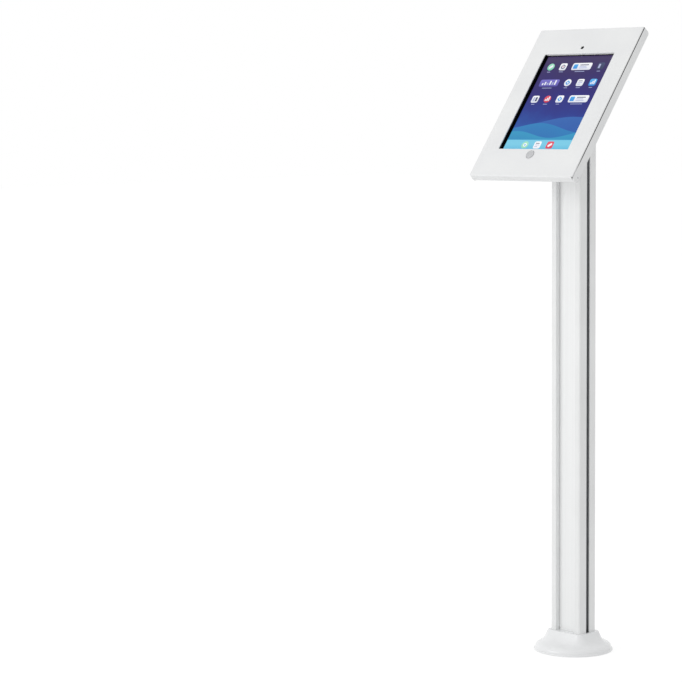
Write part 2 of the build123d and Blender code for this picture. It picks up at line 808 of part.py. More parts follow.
spring_bore = button_stem + 4 * slip_gap
flat_spring = ring(spot(0, button_rise, pocket_floor), button_flange, spring_bore, button_spring_thickness)
with BuildPart() as button_spring:
    add(flat_spring)
button_spring.part.label = "button_spring"
export_step(button_spring.part, "parts/button_spring.step")

# Catch welded inside the cover's top: a foot, a wall and the lip that the cam goes behind
catch_top = head_height - case_end - back_sheet - catch_clearance
catch_back = lock_front + cam_gap + catch_clearance + catch_sheet
with BuildPart() as lock_catch:
    with BuildSketch(side) as profile:
        with BuildLine():
            Polyline(
                (catch_top - catch_lip, -cover_sheet),
                (catch_top, -cover_sheet),
                (catch_top, -catch_back),
                (catch_top - catch_lip, -catch_back),
                (catch_top - catch_lip, catch_sheet - catch_back),
                (catch_top - catch_sheet, catch_sheet - catch_back),
                (catch_top - catch_sheet, -cover_sheet - catch_sheet),
                (catch_top - catch_lip, -cover_sheet - catch_sheet),
                close=True,
            )
        make_face()
    extrude(amount=catch_width / 2, both=True)
lock_catch.part.label = "lock_catch"
export_step(lock_catch.part, "parts/lock_catch.step")

# Cam lock: flanged barrel, ring nut, turning plug with a key slot, cam and its screw
lock_rise = head_height - lock_drop
lock_back = head_depth + lock_flange_thickness
with BuildPart() as lock_housing:
    with BuildSketch(spot(0, lock_rise, head_depth)):
        Circle(lock_barrel / 2)
    extrude(amount=head_depth - lock_front)
    with BuildSketch(spot(0, lock_rise, head_depth)):
        Circle(lock_flange / 2)
    extrude(amount=-lock_flange_thickness)
    flange_rim = lock_housing.faces().sort_by(Axis(face.origin, face.z_dir))[0].edges()
    fillet(flange_rim, lock_flange_thickness / 2)
    with BuildSketch(spot(0, lock_rise, lock_back)):
        Circle(plug_diameter / 2 + running_gap)
    extrude(amount=lock_back - lock_front, mode=Mode.SUBTRACT)
lock_housing.part.label = "lock_housing"
export_step(lock_housing.part, "parts/lock_housing.step")

ring_bore = lock_barrel + 2 * running_gap
flat_ring = ring(spot(0, lock_rise, panel_front), ring_diameter, ring_bore, ring_thickness)
with BuildPart() as lock_ring:
    add(flat_ring)
lock_ring.part.label = "lock_ring"
export_step(lock_ring.part, "parts/lock_ring.step")

cam_back = lock_front - cam_gap
cam_front = cam_back - cam_thickness
with BuildPart() as lock_plug:
    with BuildSketch(spot(0, lock_rise, lock_back)):
        Circle(plug_diameter / 2)
    extrude(amount=lock_back - cam_back)
    with BuildSketch(spot(0, lock_rise, lock_back)):
        Rectangle(key_slot_width, key_slot_length)
    extrude(amount=key_slot_depth, mode=Mode.SUBTRACT)
    with BuildSketch(spot(0, lock_rise, cam_back)):
        Circle(cam_screw_diameter / 2 + running_gap)
    extrude(amount=-cam_screw_length, mode=Mode.SUBTRACT)
lock_plug.part.label = "lock_plug"
export_step(lock_plug.part, "parts/lock_plug.step")

with BuildPart() as lock_cam:
    with BuildSketch(spot(0, lock_rise, cam_back)):
        with Locations(((cam_reach - cam_width / 2) / 2, 0)):
            SlotCenterToCenter(cam_reach - cam_width / 2, cam_width)
        Circle(cam_screw_diameter / 2 + running_gap, mode=Mode.SUBTRACT)
    extrude(amount=cam_thickness)
lock_cam.part.label = "lock_cam"
export_step(lock_cam.part, "parts/lock_cam.step")

with BuildPart() as cam_screw:
    with BuildSketch(spot(0, lock_rise, cam_front)):
        Circle(cam_screw_head / 2)
    extrude(amount=cam_screw_head_height)
    with BuildSketch(spot(0, lock_rise, cam_front)):
        Circle(cam_screw_diameter / 2)
    extrude(amount=-cam_screw_length)
    with BuildSketch(spot(0, lock_rise, cam_front - cam_screw_head_height)):
        RegularPolygon(cam_screw_socket / 2, 6, major_radius=False)
    extrude(amount=-cam_screw_head_height / 2, mode=Mode.SUBTRACT)
cam_screw.part.label = "cam_screw"
export_step(cam_screw.part, "parts/cam_screw.step")

# Tablet: shell, black front glass and the display that fills the glass's opening
with BuildPart() as tablet_body:
    with BuildSketch(spot(0, tablet_centre, tablet_back)):
        RectangleRounded(tablet_width, tablet_height, tablet_corner)
    extrude(amount=tablet_thickness - glass_thickness)
    shell_back = tablet_body.faces().sort_by(Axis(face.origin, face.z_dir))[0].edges()
    fillet(shell_back, tablet_back_round)
tablet_body.part.label = "tablet_body"
export_step(tablet_body.part, "parts/tablet_body.step")

with BuildPart() as tablet_glass:
    with BuildSketch(spot(0, tablet_centre, glass_depth + glass_thickness)):
        RectangleRounded(
            tablet_width - 2 * glass_inset,
            tablet_height - 2 * glass_inset,
            tablet_corner - glass_inset,
        )
        Rectangle(display_width, display_height, mode=Mode.SUBTRACT)
    extrude(amount=glass_thickness)
tablet_glass.part.label = "tablet_glass"
export_step(tablet_glass.part, "parts/tablet_glass.step")

with BuildPart() as tablet_display:
    with BuildSketch(spot(0, tablet_centre, glass_depth + glass_thickness)):
        Rectangle(display_width, display_height)
    extrude(amount=glass_thickness)
tablet_display.part.label = "tablet_display"
export_step(tablet_display.part, "parts/tablet_display.step")

# Foam round the tablet: an L at each corner, and a square under each corner of its back
corner_x = tablet_width / 2 + soft_gap + corner_pad_width
corner_y = tablet_height / 2 + soft_gap + corner_pad_width
corner_front = glass_depth + corner_pad_front
with BuildPart() as corner_pads:
    with BuildSketch(spot(0, tablet_centre, panel_front)):
        Rectangle(2 * corner_x, 2 * corner_y)
        Rectangle(2 * (corner_x - corner_pad_leg), 2 * corner_y, mode=Mode.SUBTRACT)
        Rectangle(2 * corner_x, 2 * (corner_y - corner_pad_leg), mode=Mode.SUBTRACT)
        Rectangle(tablet_width + 2 * soft_gap, tablet_height + 2 * soft_gap, mode=Mode.SUBTRACT)
    extrude(amount=panel_front - corner_front)
corner_pads.part.label = "corner_pads"
export_step(corner_pads.part, "parts/corner_pads.step")

back_pad_x = tablet_width - 2 * back_pad_inset - back_pad_size
back_pad_y = tablet_height - 2 * back_pad_inset - back_pad_size
with BuildPart() as back_pads:
    with BuildSketch(spot(0, tablet_centre, panel_front)):
        with GridLocations(back_pad_x, back_pad_y, 2, 2):
            Rectangle(back_pad_size, back_pad_size)
    extrude(amount=back_room - soft_gap)
back_pads.part.label = "back_pads"
export_step(back_pads.part, "parts/back_pads.step")
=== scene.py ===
import json
from math import atan2, cos, pi, radians, sin

import bmesh
import bpy
from mathutils import Matrix, Vector, noise


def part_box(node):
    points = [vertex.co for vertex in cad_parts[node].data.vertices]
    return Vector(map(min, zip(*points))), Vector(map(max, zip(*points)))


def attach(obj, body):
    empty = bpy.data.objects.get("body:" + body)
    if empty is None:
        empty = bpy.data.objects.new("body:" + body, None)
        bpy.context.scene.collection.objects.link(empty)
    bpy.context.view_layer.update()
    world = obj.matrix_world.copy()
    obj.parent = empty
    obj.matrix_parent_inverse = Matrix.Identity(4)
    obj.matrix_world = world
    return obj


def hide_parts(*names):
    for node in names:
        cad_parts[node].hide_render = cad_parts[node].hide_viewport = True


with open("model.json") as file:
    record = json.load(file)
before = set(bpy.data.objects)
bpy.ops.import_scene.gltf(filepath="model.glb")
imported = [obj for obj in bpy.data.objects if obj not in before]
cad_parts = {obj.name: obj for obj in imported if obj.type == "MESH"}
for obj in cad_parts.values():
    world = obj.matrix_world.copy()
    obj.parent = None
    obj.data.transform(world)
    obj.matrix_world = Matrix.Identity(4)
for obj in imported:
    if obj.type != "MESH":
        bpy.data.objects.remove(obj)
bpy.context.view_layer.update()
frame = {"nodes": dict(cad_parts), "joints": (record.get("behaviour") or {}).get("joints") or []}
nodes = frame["nodes"]
mm = 0.001

# The head's own axes, read from the home button's travel and the display's place:
# x to the right, y up the face, z out of the screen, from the middle of the glass.
pressAxis = next(j["axis"] for j in frame["joints"] if j["name"] == "home_button_press")
recline = atan2(-pressAxis[2], pressAxis[1])
glassThickness = 0.8 * mm
screenLow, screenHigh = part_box("tablet_display")
screenWidth = screenHigh.x - screenLow.x
screenHeight = (screenHigh.z - screenLow.z - glassThickness * sin(recline)) / cos(recline)
headTurn = Matrix.Rotation(pi / 2 - recline, 4, "X")
glassFront = (screenLow + screenHigh) / 2 + headTurn @ Vector((0, 0, glassThickness / 2))
toHead = Matrix.Translation(glassFront) @ headTurn
print("frame loaded, head reclined", round(recline * 180 / pi, 1), "degrees")


def linear(hexColour):  # an sRGB hex colour as the linear colour that a shader takes
    shares = [int(hexColour[i:i + 2], 16) / 255 for i in (1, 3, 5)]
    return [s / 12.92 if s <= 0.04045 else ((s + 0.055) / 1.055) ** 2.4 for s in shares] + [1.0]


def addNode(tree, kind, sockets=None, stops=(), **settings):  # a node with its settings, links and ramp stops
    node = tree.nodes.new("ShaderNode" + kind)
    for name, value in settings.items():
        setattr(node, name, value)
    for name, value in (sockets or {}).items():
        if isinstance(value, bpy.types.Node):
            value = value.outputs[0]
        if isinstance(value, bpy.types.NodeSocket):
            tree.links.new(value, node.inputs[name])
        else:
            node.inputs[name].default_value = value
    if stops:
        elements = node.color_ramp.elements
        for element, (place, colour) in zip((elements[0], elements[1]), (stops[0], stops[-1])):
            element.position = place
            element.color = linear(colour)
        for place, colour in stops[1:-1]:
            elements.new(place).color = linear(colour)
    return node


noiseSpan = {"From Min": 0.3, "From Max": 0.7}  # nearly all of a noise texture's values lie between these


def newMaterial(name):  # an empty material and its tree
    material = bpy.data.materials.new(name)
    material.use_nodes = True
    material.node_tree.nodes.clear()
    return material, material.node_tree


# Floor and room

stage = {"floorSize": 40.0, "floorColour": "#eeeeee", "ownShare": 0.35, "whiteShare": 0.72,
         "roomLight": 0.845, "roomLean": (-0.09, 0.0, 0.01), "whiteRoom": 1.0}


def whiteRays(tree):  # 1 for the rays that see the backdrop itself: camera, mirror and glass rays
    rays = addNode(tree, "LightPath").outputs
    both = addNode(tree, "Math", {0: rays["Is Camera Ray"], 1: rays["Is Glossy Ray"]}, operation="MAXIMUM")
    return addNode(tree, "Math", {0: both, 1: rays["Is Transmission Ray"]}, operation="MAXIMUM")


def makeFloor():  # one large pale plane, which counts as the stage
    bm = bmesh.new()
    bmesh.ops.create_grid(bm, x_segments=1, y_segments=1, size=stage["floorSize"] / 2)
    mesh = bpy.data.meshes.new("studio_floor")
    bm.to_mesh(mesh)
    bm.free()
    floor = bpy.data.objects.new("studio_floor", mesh)
    bpy.context.collection.objects.link(floor)
    material, tree = newMaterial("white paper sweep")  # matte paper, washed out to white around the object
    plain = addNode(tree, "BsdfDiffuse", {"Color": linear(stage["floorColour"])})
    seen = addNode(tree, "BsdfDiffuse", {"Color": [stage["ownShare"]] * 3 + [1]})
    glow = addNode(tree, "Emission", {"Color": (1, 1, 1, 1), "Strength": stage["whiteShare"]})
    bright = addNode(tree, "AddShader", {0: seen, 1: glow})
    mix = addNode(tree, "MixShader", {"Fac": whiteRays(tree), 1: plain, 2: bright})
    addNode(tree, "OutputMaterial", {"Surface": mix})
    mesh.materials.append(material)


def makeRoom():  # an even white room, a little brighter on the left
    world = bpy.data.worlds.new("white studio")
    bpy.context.scene.world = world
    world.use_nodes = True
    tree = world.node_tree
    tree.nodes.clear()
    way = addNode(tree, "TexCoord").outputs["Object"]
    lean = addNode(tree, "VectorMath", {0: way, 1: stage["roomLean"]}, operation="DOT_PRODUCT")
    soft = addNode(tree, "Math", {0: lean.outputs["Value"], 1: stage["roomLight"]}, operation="ADD")
    strength = addNode(tree, "MapRange", {"Value": whiteRays(tree), "To Min": soft,
                                          "To Max": stage["whiteRoom"]})
    background = addNode(tree, "Background", {"Color": (1, 1, 1, 1), "Strength": strength})
    addNode(tree, "OutputWorld", {"Surface": background})


frontLight = {"place": (-1.1, -2.5, 1.0), "aim": (0, 0, 0.55), "size": 1.6, "power": 16.5}


def makeFrontLight():  # a soft box in front, a little to the left
    data = bpy.data.lights.new("front softbox", "AREA")
    data.size = frontLight["size"]
    data.energy = frontLight["power"]
    lamp = bpy.data.objects.new("front softbox", data)
    bpy.context.collection.objects.link(lamp)
    lamp.location = frontLight["place"]
    ray = Vector(frontLight["aim"]) - Vector(frontLight["place"])
    lamp.rotation_euler = ray.to_track_quat("-Z", "Y").to_euler()


viewpoint = {"azimuth": 39.71, "distance": 4.0, "height": 0.932, "heading": 45.38, "dip": 5.69,
             "roll": -0.48, "lens": 124.27}


def makeCamera():  # stands where the photograph's whole view was taken from
    data = bpy.data.cameras.new("photograph's view")
    data.lens = viewpoint["lens"]
    data.clip_end = 100.0
    camera = bpy.data.objects.new("photograph's view", data)
    bpy.context.collection.objects.link(camera)
    around = radians(viewpoint["azimuth"])
    place = Vector((sin(around), -cos(around), 0)) * viewpoint["distance"]
    place.z = viewpoint["height"]
    turn = (Matrix.Rotation(radians(viewpoint["heading"]), 4, "Z")
            @ Matrix.Rotation(radians(90 - viewpoint["dip"]), 4, "X")
            @ Matrix.Rotation(radians(viewpoint["roll"]), 4, "Z"))
    camera.matrix_world = Matrix.Translation(place) @ turn
    bpy.context.scene.camera = camera


makeCamera()
makeFloor()
makeRoom()
makeFrontLight()
bpy.context.scene.view_settings.view_transform = "Standard"
print("stage, lights and camera ready")


# Finishes of the stand: the white ones first

# The powder's orange peel is near 1 mm, so it is drawn coarser
steelCoat = {"colour": "#ebecec", "shade": "#e6e7e8", "cloud": 70, "rough": (0.38, 0.46), "patch": 18,
             "peel": 2.2, "peelDepth": 0.012, "speck": 0.7, "speckDepth": 0.003}


def powderCoatedSteel():  # baked powder on folded sheet: even white with a fine orange peel
    coat = steelCoat
    material, tree = newMaterial("powder coated sheet steel")
    place = addNode(tree, "TexCoord").outputs["Object"]
    cloud = addNode(tree, "TexNoise", {"Vector": place, "Scale": 1 / (coat["cloud"] * mm), "Detail": 1})
    colour = addNode(tree, "ValToRGB", {"Fac": cloud}, stops=((0.3, coat["shade"]), (0.7, coat["colour"])))
    patch = addNode(tree, "TexNoise", {"Vector": place, "Scale": 1 / (coat["patch"] * mm)})
    rough = addNode(tree, "MapRange", {"Value": patch, "To Min": coat["rough"][0],
                                       "To Max": coat["rough"][1], **noiseSpan})
    speck = addNode(tree, "TexNoise", {"Vector": place, "Scale": 1 / (coat["speck"] * mm)})
    fine = addNode(tree, "Bump", {"Height": speck, "Distance": coat["speckDepth"] * mm})
    peel = addNode(tree, "TexNoise", {"Vector": place, "Scale": 1 / (coat["peel"] * mm)})
    skin = addNode(tree, "Bump", {"Height": peel, "Distance": coat["peelDepth"] * mm, "Normal": fine})
    surface = addNode(tree, "BsdfPrincipled", {"Base Color": colour, "Roughness": rough, "IOR": 1.5,
                                               "Normal": skin})
    addNode(tree, "OutputMaterial", {"Surface": surface})
    return material


def facePlane(tree):  # a place on the head's own axes, from the middle of the glass
    place = addNode(tree, "TexCoord").outputs["Object"]
    return addNode(tree, "Mapping", {"Vector": place, "Location": glassFront,
                                     "Rotation": (pi / 2 - recline, 0, 0)}, vector_type="TEXTURE")


# Painted shade for the seam between the cover and the side walls: a near-black band on the walls' front edges
seamShade = {"colours": ("#1d1e1f", "#2b2c2d"), "mottle": 3, "rough": 0.55, "paintedShade": (2.2, 2.35),
           "hinge": (-142, -112)}


def caseSteelWithSeamShade():  # the same powder, but the side walls' cut front edges carry painted shade, near-black in the seam
    material = powderCoatedSteel()
    material.name = "powder coated sheet steel, painted shade in the seam"
    tree = material.node_tree
    output = next(node for node in tree.nodes if node.type == "OUTPUT_MATERIAL")
    coated = output.inputs["Surface"].links[0].from_node
    low, high = (height * mm for height in seamShade["paintedShade"])
    end, start = (height * mm for height in seamShade["hinge"])  # the painted shade fades out towards the hinge
    axes = addNode(tree, "SeparateXYZ", {"Vector": facePlane(tree)}).outputs
    front = addNode(tree, "MapRange", {"Value": axes["Z"], "From Min": low, "From Max": high})
    upper = addNode(tree, "MapRange", {"Value": axes["Y"], "From Min": end, "From Max": start})
    paintedShade = addNode(tree, "Math", {0: front, 1: upper}, operation="MULTIPLY")
    place = addNode(tree, "TexCoord").outputs["Object"]
    mottle = addNode(tree, "TexNoise", {"Vector": place, "Scale": 1 / (seamShade["mottle"] * mm)})
    colour = addNode(tree, "ValToRGB", {"Fac": mottle}, stops=tuple(zip((0.35, 0.65), seamShade["colours"])))
    # near-black steel on the walls' front edges: painted shade for the seam's shadow line
    steel = addNode(tree, "BsdfPrincipled", {"Base Color": colour, "Roughness": seamShade["rough"]})
    mix = addNode(tree, "MixShader", {"Fac": paintedShade, 1: coated, 2: steel})
    tree.links.new(mix.outputs[0], output.inputs["Surface"])
    return material


# The pocket's bare metal colours are darker than the coat and also stand in for the slot's shade: partly
# painted shade
extrusionCoat = {"colour": "#ebecec", "shade": "#e6e7e7", "cloud": 60, "rough": (0.36, 0.44), "patch": 14,
                 "paintedShade": ("#a9abad", "#bcbec0"), "dieLine": 1.1, "dieDepth": 0.01, "grit": 1.8,
                 "gritDepth": 0.006, "pocket": (22.1, 30.35), "pocketHalf": 7.1, "edge": 0.05,
                 "drawnOut": 0.004}  # sizes of the T-slot's pocket from the column's middle


def coatedExtrusion():  # extruded aluminium, white coated outside, bare where the powder can't reach; the bare pocket's darker grey is also painted shade for the slot
    coat = extrusionCoat
    material, tree = newMaterial("coated extruded aluminium")
    place = addNode(tree, "TexCoord").outputs["Object"]
    axes = addNode(tree, "SeparateXYZ", {"Vector": place}).outputs
    across = addNode(tree, "Math", {0: axes["X"]}, operation="ABSOLUTE")
    deep = addNode(tree, "Math", {0: axes["Y"]}, operation="ABSOLUTE")
    inner, outer = (reach * mm for reach in coat["pocket"])
    side, edge = coat["pocketHalf"] * mm, coat["edge"] * mm
    behind = addNode(tree, "MapRange", {"Value": across, "From Min": inner, "From Max": inner + edge})
    before = addNode(tree, "MapRange", {"Value": across, "From Min": outer + edge, "From Max": outer})
    between = addNode(tree, "MapRange", {"Value": deep, "From Min": side + edge, "From Max": side})
    band = addNode(tree, "Math", {0: behind, 1: before}, operation="MULTIPLY")
    paintedShade = addNode(tree, "Math", {0: band, 1: between}, operation="MULTIPLY")  # 1 inside the T-slot's pocket, where bare metal also paints the slot's shade
    along = addNode(tree, "Mapping", {"Vector": place, "Scale": (1, 1, coat["drawnOut"])})
    dieLines = addNode(tree, "TexNoise", {"Vector": along, "Scale": 1 / (coat["dieLine"] * mm)})
    cloud = addNode(tree, "TexNoise", {"Vector": place, "Scale": 1 / (coat["cloud"] * mm), "Detail": 1})
    white = addNode(tree, "ValToRGB", {"Fac": cloud}, stops=((0.3, coat["shade"]), (0.7, coat["colour"])))
    # bare metal in the pocket, darker than the coat: partly painted shade
    metal = addNode(tree, "ValToRGB", {"Fac": dieLines}, stops=tuple(zip((0.3, 0.7), coat["paintedShade"])))
    colour = addNode(tree, "Mix", {"Factor": paintedShade, 6: white, 7: metal}, data_type="RGBA").outputs[2]
    patch = addNode(tree, "TexNoise", {"Vector": place, "Scale": 1 / (coat["patch"] * mm)})
    rough = addNode(tree, "MapRange", {"Value": patch, "To Min": coat["rough"][0],
                                       "To Max": coat["rough"][1], **noiseSpan})
    grit = addNode(tree, "TexNoise", {"Vector": place, "Scale": 1 / (coat["grit"] * mm)})
    fine = addNode(tree, "Bump", {"Height": grit, "Distance": coat["gritDepth"] * mm})
    lines = addNode(tree, "Bump", {"Height": dieLines, "Distance": coat["dieDepth"] * mm, "Normal": fine})
    surface = addNode(tree, "BsdfPrincipled", {"Base Color": colour, "Metallic": paintedShade, "Roughness": rough,
                                               "Normal": lines})
    addNode(tree, "OutputMaterial", {"Surface": surface})
    return material


stripPlastic = {"colour": "#f1f2f2", "shade": "#edeeee", "line": 2.6, "lineDepth": 0.02, "rough": (0.42, 0.5),
                "patch": 9, "drawnOut": 0.003, "patchDrawnOut": 0.05}


def extrudedPlastic():  # satin PVC strip: soft white with faint lines along its length
    strip = stripPlastic
    material, tree = newMaterial("extruded white PVC")
    place = addNode(tree, "TexCoord").outputs["Object"]
    along = addNode(tree, "Mapping", {"Vector": place, "Scale": (1, 1, strip["drawnOut"])})
    line = addNode(tree, "TexNoise", {"Vector": along, "Scale": 1 / (strip["line"] * mm), "Detail": 1})
    colour = addNode(tree, "ValToRGB", {"Fac": line}, stops=((0.35, strip["shade"]), (0.65, strip["colour"])))
    longer = addNode(tree, "Mapping", {"Vector": place, "Scale": (1, 1, strip["patchDrawnOut"])})
    patch = addNode(tree, "TexNoise", {"Vector": longer, "Scale": 1 / (strip["patch"] * mm)})
    rough = addNode(tree, "MapRange", {"Value": patch, "To Min": strip["rough"][0],
                                       "To Max": strip["rough"][1], **noiseSpan})
    lines = addNode(tree, "Bump", {"Height": line, "Distance": strip["lineDepth"] * mm})
    surface = addNode(tree, "BsdfPrincipled", {"Base Color": colour, "Roughness": rough, "IOR": 1.53,
                                               "Normal": lines})
    addNode(tree, "OutputMaterial", {"Surface": surface})
    return material


bellPlastic = {"colour": "#ecedee", "shade": "#e8e9ea", "cloud": 45, "rough": (0.17, 0.23), "patch": 12,
               "ripple": 16, "rippleDepth": 0.02, "pore": 1.5, "poreDepth": 0.0015}


def mouldedGlossPlastic():  # polished mould ABS: glossy white with a soft long ripple
    bell = bellPlastic
    material, tree = newMaterial("moulded gloss ABS")
    place = addNode(tree, "TexCoord").outputs["Object"]
    cloud = addNode(tree, "TexNoise", {"Vector": place, "Scale": 1 / (bell["cloud"] * mm), "Detail": 1})
    colour = addNode(tree, "ValToRGB", {"Fac": cloud}, stops=((0.3, bell["shade"]), (0.7, bell["colour"])))
    patch = addNode(tree, "TexNoise", {"Vector": place, "Scale": 1 / (bell["patch"] * mm)})
    rough = addNode(tree, "MapRange", {"Value": patch, "To Min": bell["rough"][0],
                                       "To Max": bell["rough"][1], **noiseSpan})
    pore = addNode(tree, "TexNoise", {"Vector": place, "Scale": 1 / (bell["pore"] * mm)})
    fine = addNode(tree, "Bump", {"Height": pore, "Distance": bell["poreDepth"] * mm})
    ripple = addNode(tree, "TexNoise", {"Vector": place, "Scale": 1 / (bell["ripple"] * mm), "Detail": 0})
    skin = addNode(tree, "Bump", {"Height": ripple, "Distance": bell["rippleDepth"] * mm, "Normal": fine})
    surface = addNode(tree, "BsdfPrincipled", {"Base Color": colour, "Roughness": rough, "IOR": 1.53,
                                               "Normal": skin})
    addNode(tree, "OutputMaterial", {"Surface": surface})
    return material


# Metals, rubber and foam

zincPlate = {"colours": ("#a9abae", "#bcbdbf", "#c0bcae"), "cloud": 5, "rough": (0.26, 0.4), "mark": 1.2,
             "fineMark": 0.5, "markDepth": 0.004, "closedUp": 6}


def zincPlatedSteel():  # turned and plated: grey metal with fine turning marks and a faint warm cast
    plate = zincPlate
    material, tree = newMaterial("zinc plated steel")
    place = addNode(tree, "TexCoord").outputs["Object"]
    cloud = addNode(tree, "TexNoise", {"Vector": place, "Scale": 1 / (plate["cloud"] * mm)})
    colour = addNode(tree, "ValToRGB", {"Fac": cloud},
                     stops=tuple(zip((0.3, 0.55, 0.75), plate["colours"])))
    squeezed = addNode(tree, "Mapping", {"Vector": place, "Scale": (1, 1, plate["closedUp"])})
    mark = addNode(tree, "TexNoise", {"Vector": squeezed, "Scale": 1 / (plate["mark"] * mm)})
    rough = addNode(tree, "MapRange", {"Value": mark, "To Min": plate["rough"][0],
                                       "To Max": plate["rough"][1], **noiseSpan})
    fine = addNode(tree, "TexNoise", {"Vector": squeezed, "Scale": 1 / (plate["fineMark"] * mm)})
    marks = addNode(tree, "Bump", {"Height": fine, "Distance": plate["markDepth"] * mm})
    surface = addNode(tree, "BsdfPrincipled", {"Base Color": colour, "Metallic": 1.0, "Roughness": rough,
                                               "Normal": marks})
    addNode(tree, "OutputMaterial", {"Surface": surface})
    return material


casting = {"colours": ("#9b9da0", "#b3b5b7"), "cloud": 6, "rough": (0.42, 0.58), "patch": 3, "pebble": 1.6,
           "pebbleDepth": 0.05}


def castAluminium():  # sand cast and tumbled: soft grey with a pebbled skin
    material, tree = newMaterial("tumbled cast aluminium")
    place = addNode(tree, "TexCoord").outputs["Object"]
    cloud = addNode(tree, "TexNoise", {"Vector": place, "Scale": 1 / (casting["cloud"] * mm)})
    colour = addNode(tree, "ValToRGB", {"Fac": cloud}, stops=tuple(zip((0.3, 0.7), casting["colours"])))
    patch = addNode(tree, "TexNoise", {"Vector": place, "Scale": 1 / (casting["patch"] * mm)})
    rough = addNode(tree, "MapRange", {"Value": patch, "To Min": casting["rough"][0],
                                       "To Max": casting["rough"][1], **noiseSpan})
    pebble = addNode(tree, "TexNoise", {"Vector": place, "Scale": 1 / (casting["pebble"] * mm)})
    skin = addNode(tree, "Bump", {"Height": pebble, "Distance": casting["pebbleDepth"] * mm})
    surface = addNode(tree, "BsdfPrincipled", {"Base Color": colour, "Metallic": 1.0, "Roughness": rough,
                                               "Normal": skin})
    addNode(tree, "OutputMaterial", {"Surface": surface})
    return material


washerFibre = {"fleck": "#8a7a63", "binder": "#4c4238", "size": 0.6, "depth": 0.02, "rough": 0.85}


def frictionFibre():  # pressed fibre washer: dull brown with pale flecks
    material, tree = newMaterial("pressed friction fibre")
    place = addNode(tree, "TexCoord").outputs["Object"]
    fleck = addNode(tree, "TexVoronoi", {"Vector": place, "Scale": 1 / (washerFibre["size"] * mm)})
    colour = addNode(tree, "ValToRGB", {"Fac": fleck},
                     stops=((0.1, washerFibre["fleck"]), (0.4, washerFibre["binder"])))
    skin = addNode(tree, "Bump", {"Height": fleck, "Distance": washerFibre["depth"] * mm})
    surface = addNode(tree, "BsdfPrincipled", {"Base Color": colour, "Roughness": washerFibre["rough"],
                                               "Normal": skin})
    addNode(tree, "OutputMaterial", {"Surface": surface})
    return material


cableRubber = {"colours": ("#17181a", "#232427"), "bloom": 4, "rough": (0.55, 0.7), "patch": 2, "grain": 0.8,
               "grainDepth": 0.01}


def mouldedRubber():  # black EPDM: dull, with a bloom of paler patches
    material, tree = newMaterial("moulded black rubber")
    place = addNode(tree, "TexCoord").outputs["Object"]
    bloom = addNode(tree, "TexNoise", {"Vector": place, "Scale": 1 / (cableRubber["bloom"] * mm)})
    colour = addNode(tree, "ValToRGB", {"Fac": bloom}, stops=tuple(zip((0.3, 0.7), cableRubber["colours"])))
    patch = addNode(tree, "TexNoise", {"Vector": place, "Scale": 1 / (cableRubber["patch"] * mm)})
    rough = addNode(tree, "MapRange", {"Value": patch, "To Min": cableRubber["rough"][0],
                                       "To Max": cableRubber["rough"][1], **noiseSpan})
    grain = addNode(tree, "TexNoise", {"Vector": place, "Scale": 1 / (cableRubber["grain"] * mm)})
    skin = addNode(tree, "Bump", {"Height": grain, "Distance": cableRubber["grainDepth"] * mm})
    surface = addNode(tree, "BsdfPrincipled", {"Base Color": colour, "Roughness": rough, "IOR": 1.52,
                                               "Normal": skin})
    addNode(tree, "OutputMaterial", {"Surface": surface})
    return material


foamSkin = {"cell": 1.1, "cellDepth": 0.16, "colour": "#26272a", "paintedPitShade": "#0c0c0d", "strut": 0.4,
            "strutDepth": 0.02, "rough": 0.95, "sheen": 0.1, "gloss": 0.2}


def openCellFoam():  # black PU foam: dull cells, with painted shade in their pits
    material, tree = newMaterial("open cell foam")
    place = addNode(tree, "TexCoord").outputs["Object"]
    cell = addNode(tree, "TexVoronoi", {"Vector": place, "Scale": 1 / (foamSkin["cell"] * mm)},
                   feature="SMOOTH_F1")
    # near-black at the cells' middles: painted shade in the cell hollows
    colour = addNode(tree, "ValToRGB", {"Fac": cell},
                     stops=((0.05, foamSkin["paintedPitShade"]), (0.55, foamSkin["colour"])))
    strut = addNode(tree, "TexNoise", {"Vector": place, "Scale": 1 / (foamSkin["strut"] * mm)})
    fine = addNode(tree, "Bump", {"Height": strut, "Distance": foamSkin["strutDepth"] * mm})
    cells = addNode(tree, "Bump", {"Height": cell, "Distance": foamSkin["cellDepth"] * mm, "Normal": fine})
    surface = addNode(tree, "BsdfPrincipled", {"Base Color": colour, "Roughness": foamSkin["rough"],
                                               "Sheen Weight": foamSkin["sheen"],
                                               "Specular IOR Level": foamSkin["gloss"], "Normal": cells})
    addNode(tree, "OutputMaterial", {"Surface": surface})
    return material


tapeFoam = {"colours": ("#dededa", "#eeeeeb"), "cell": 0.9, "cellDepth": 0.03, "rough": 0.8}


def closedCellTape():  # white foam tape: fine even cells under a paper-smooth skin
    material, tree = newMaterial("white foam tape")
    place = addNode(tree, "TexCoord").outputs["Object"]
    cell = addNode(tree, "TexNoise", {"Vector": place, "Scale": 1 / (tapeFoam["cell"] * mm)})
    colour = addNode(tree, "ValToRGB", {"Fac": cell}, stops=tuple(zip((0.3, 0.7), tapeFoam["colours"])))
    cells = addNode(tree, "Bump", {"Height": cell, "Distance": tapeFoam["cellDepth"] * mm})
    surface = addNode(tree, "BsdfPrincipled", {"Base Color": colour, "Roughness": tapeFoam["rough"],
                                               "Normal": cells})
    addNode(tree, "OutputMaterial", {"Surface": surface})
    return material


# The tablet, the button and the lock

# The blasting's dents are under 0.1 mm, so they are drawn coarser
tabletShell = {"colours": ("#c6c8cb", "#cdcfd1"), "cloud": 40, "rough": (0.34, 0.42), "blast": 0.6,
               "blastDepth": 0.004}


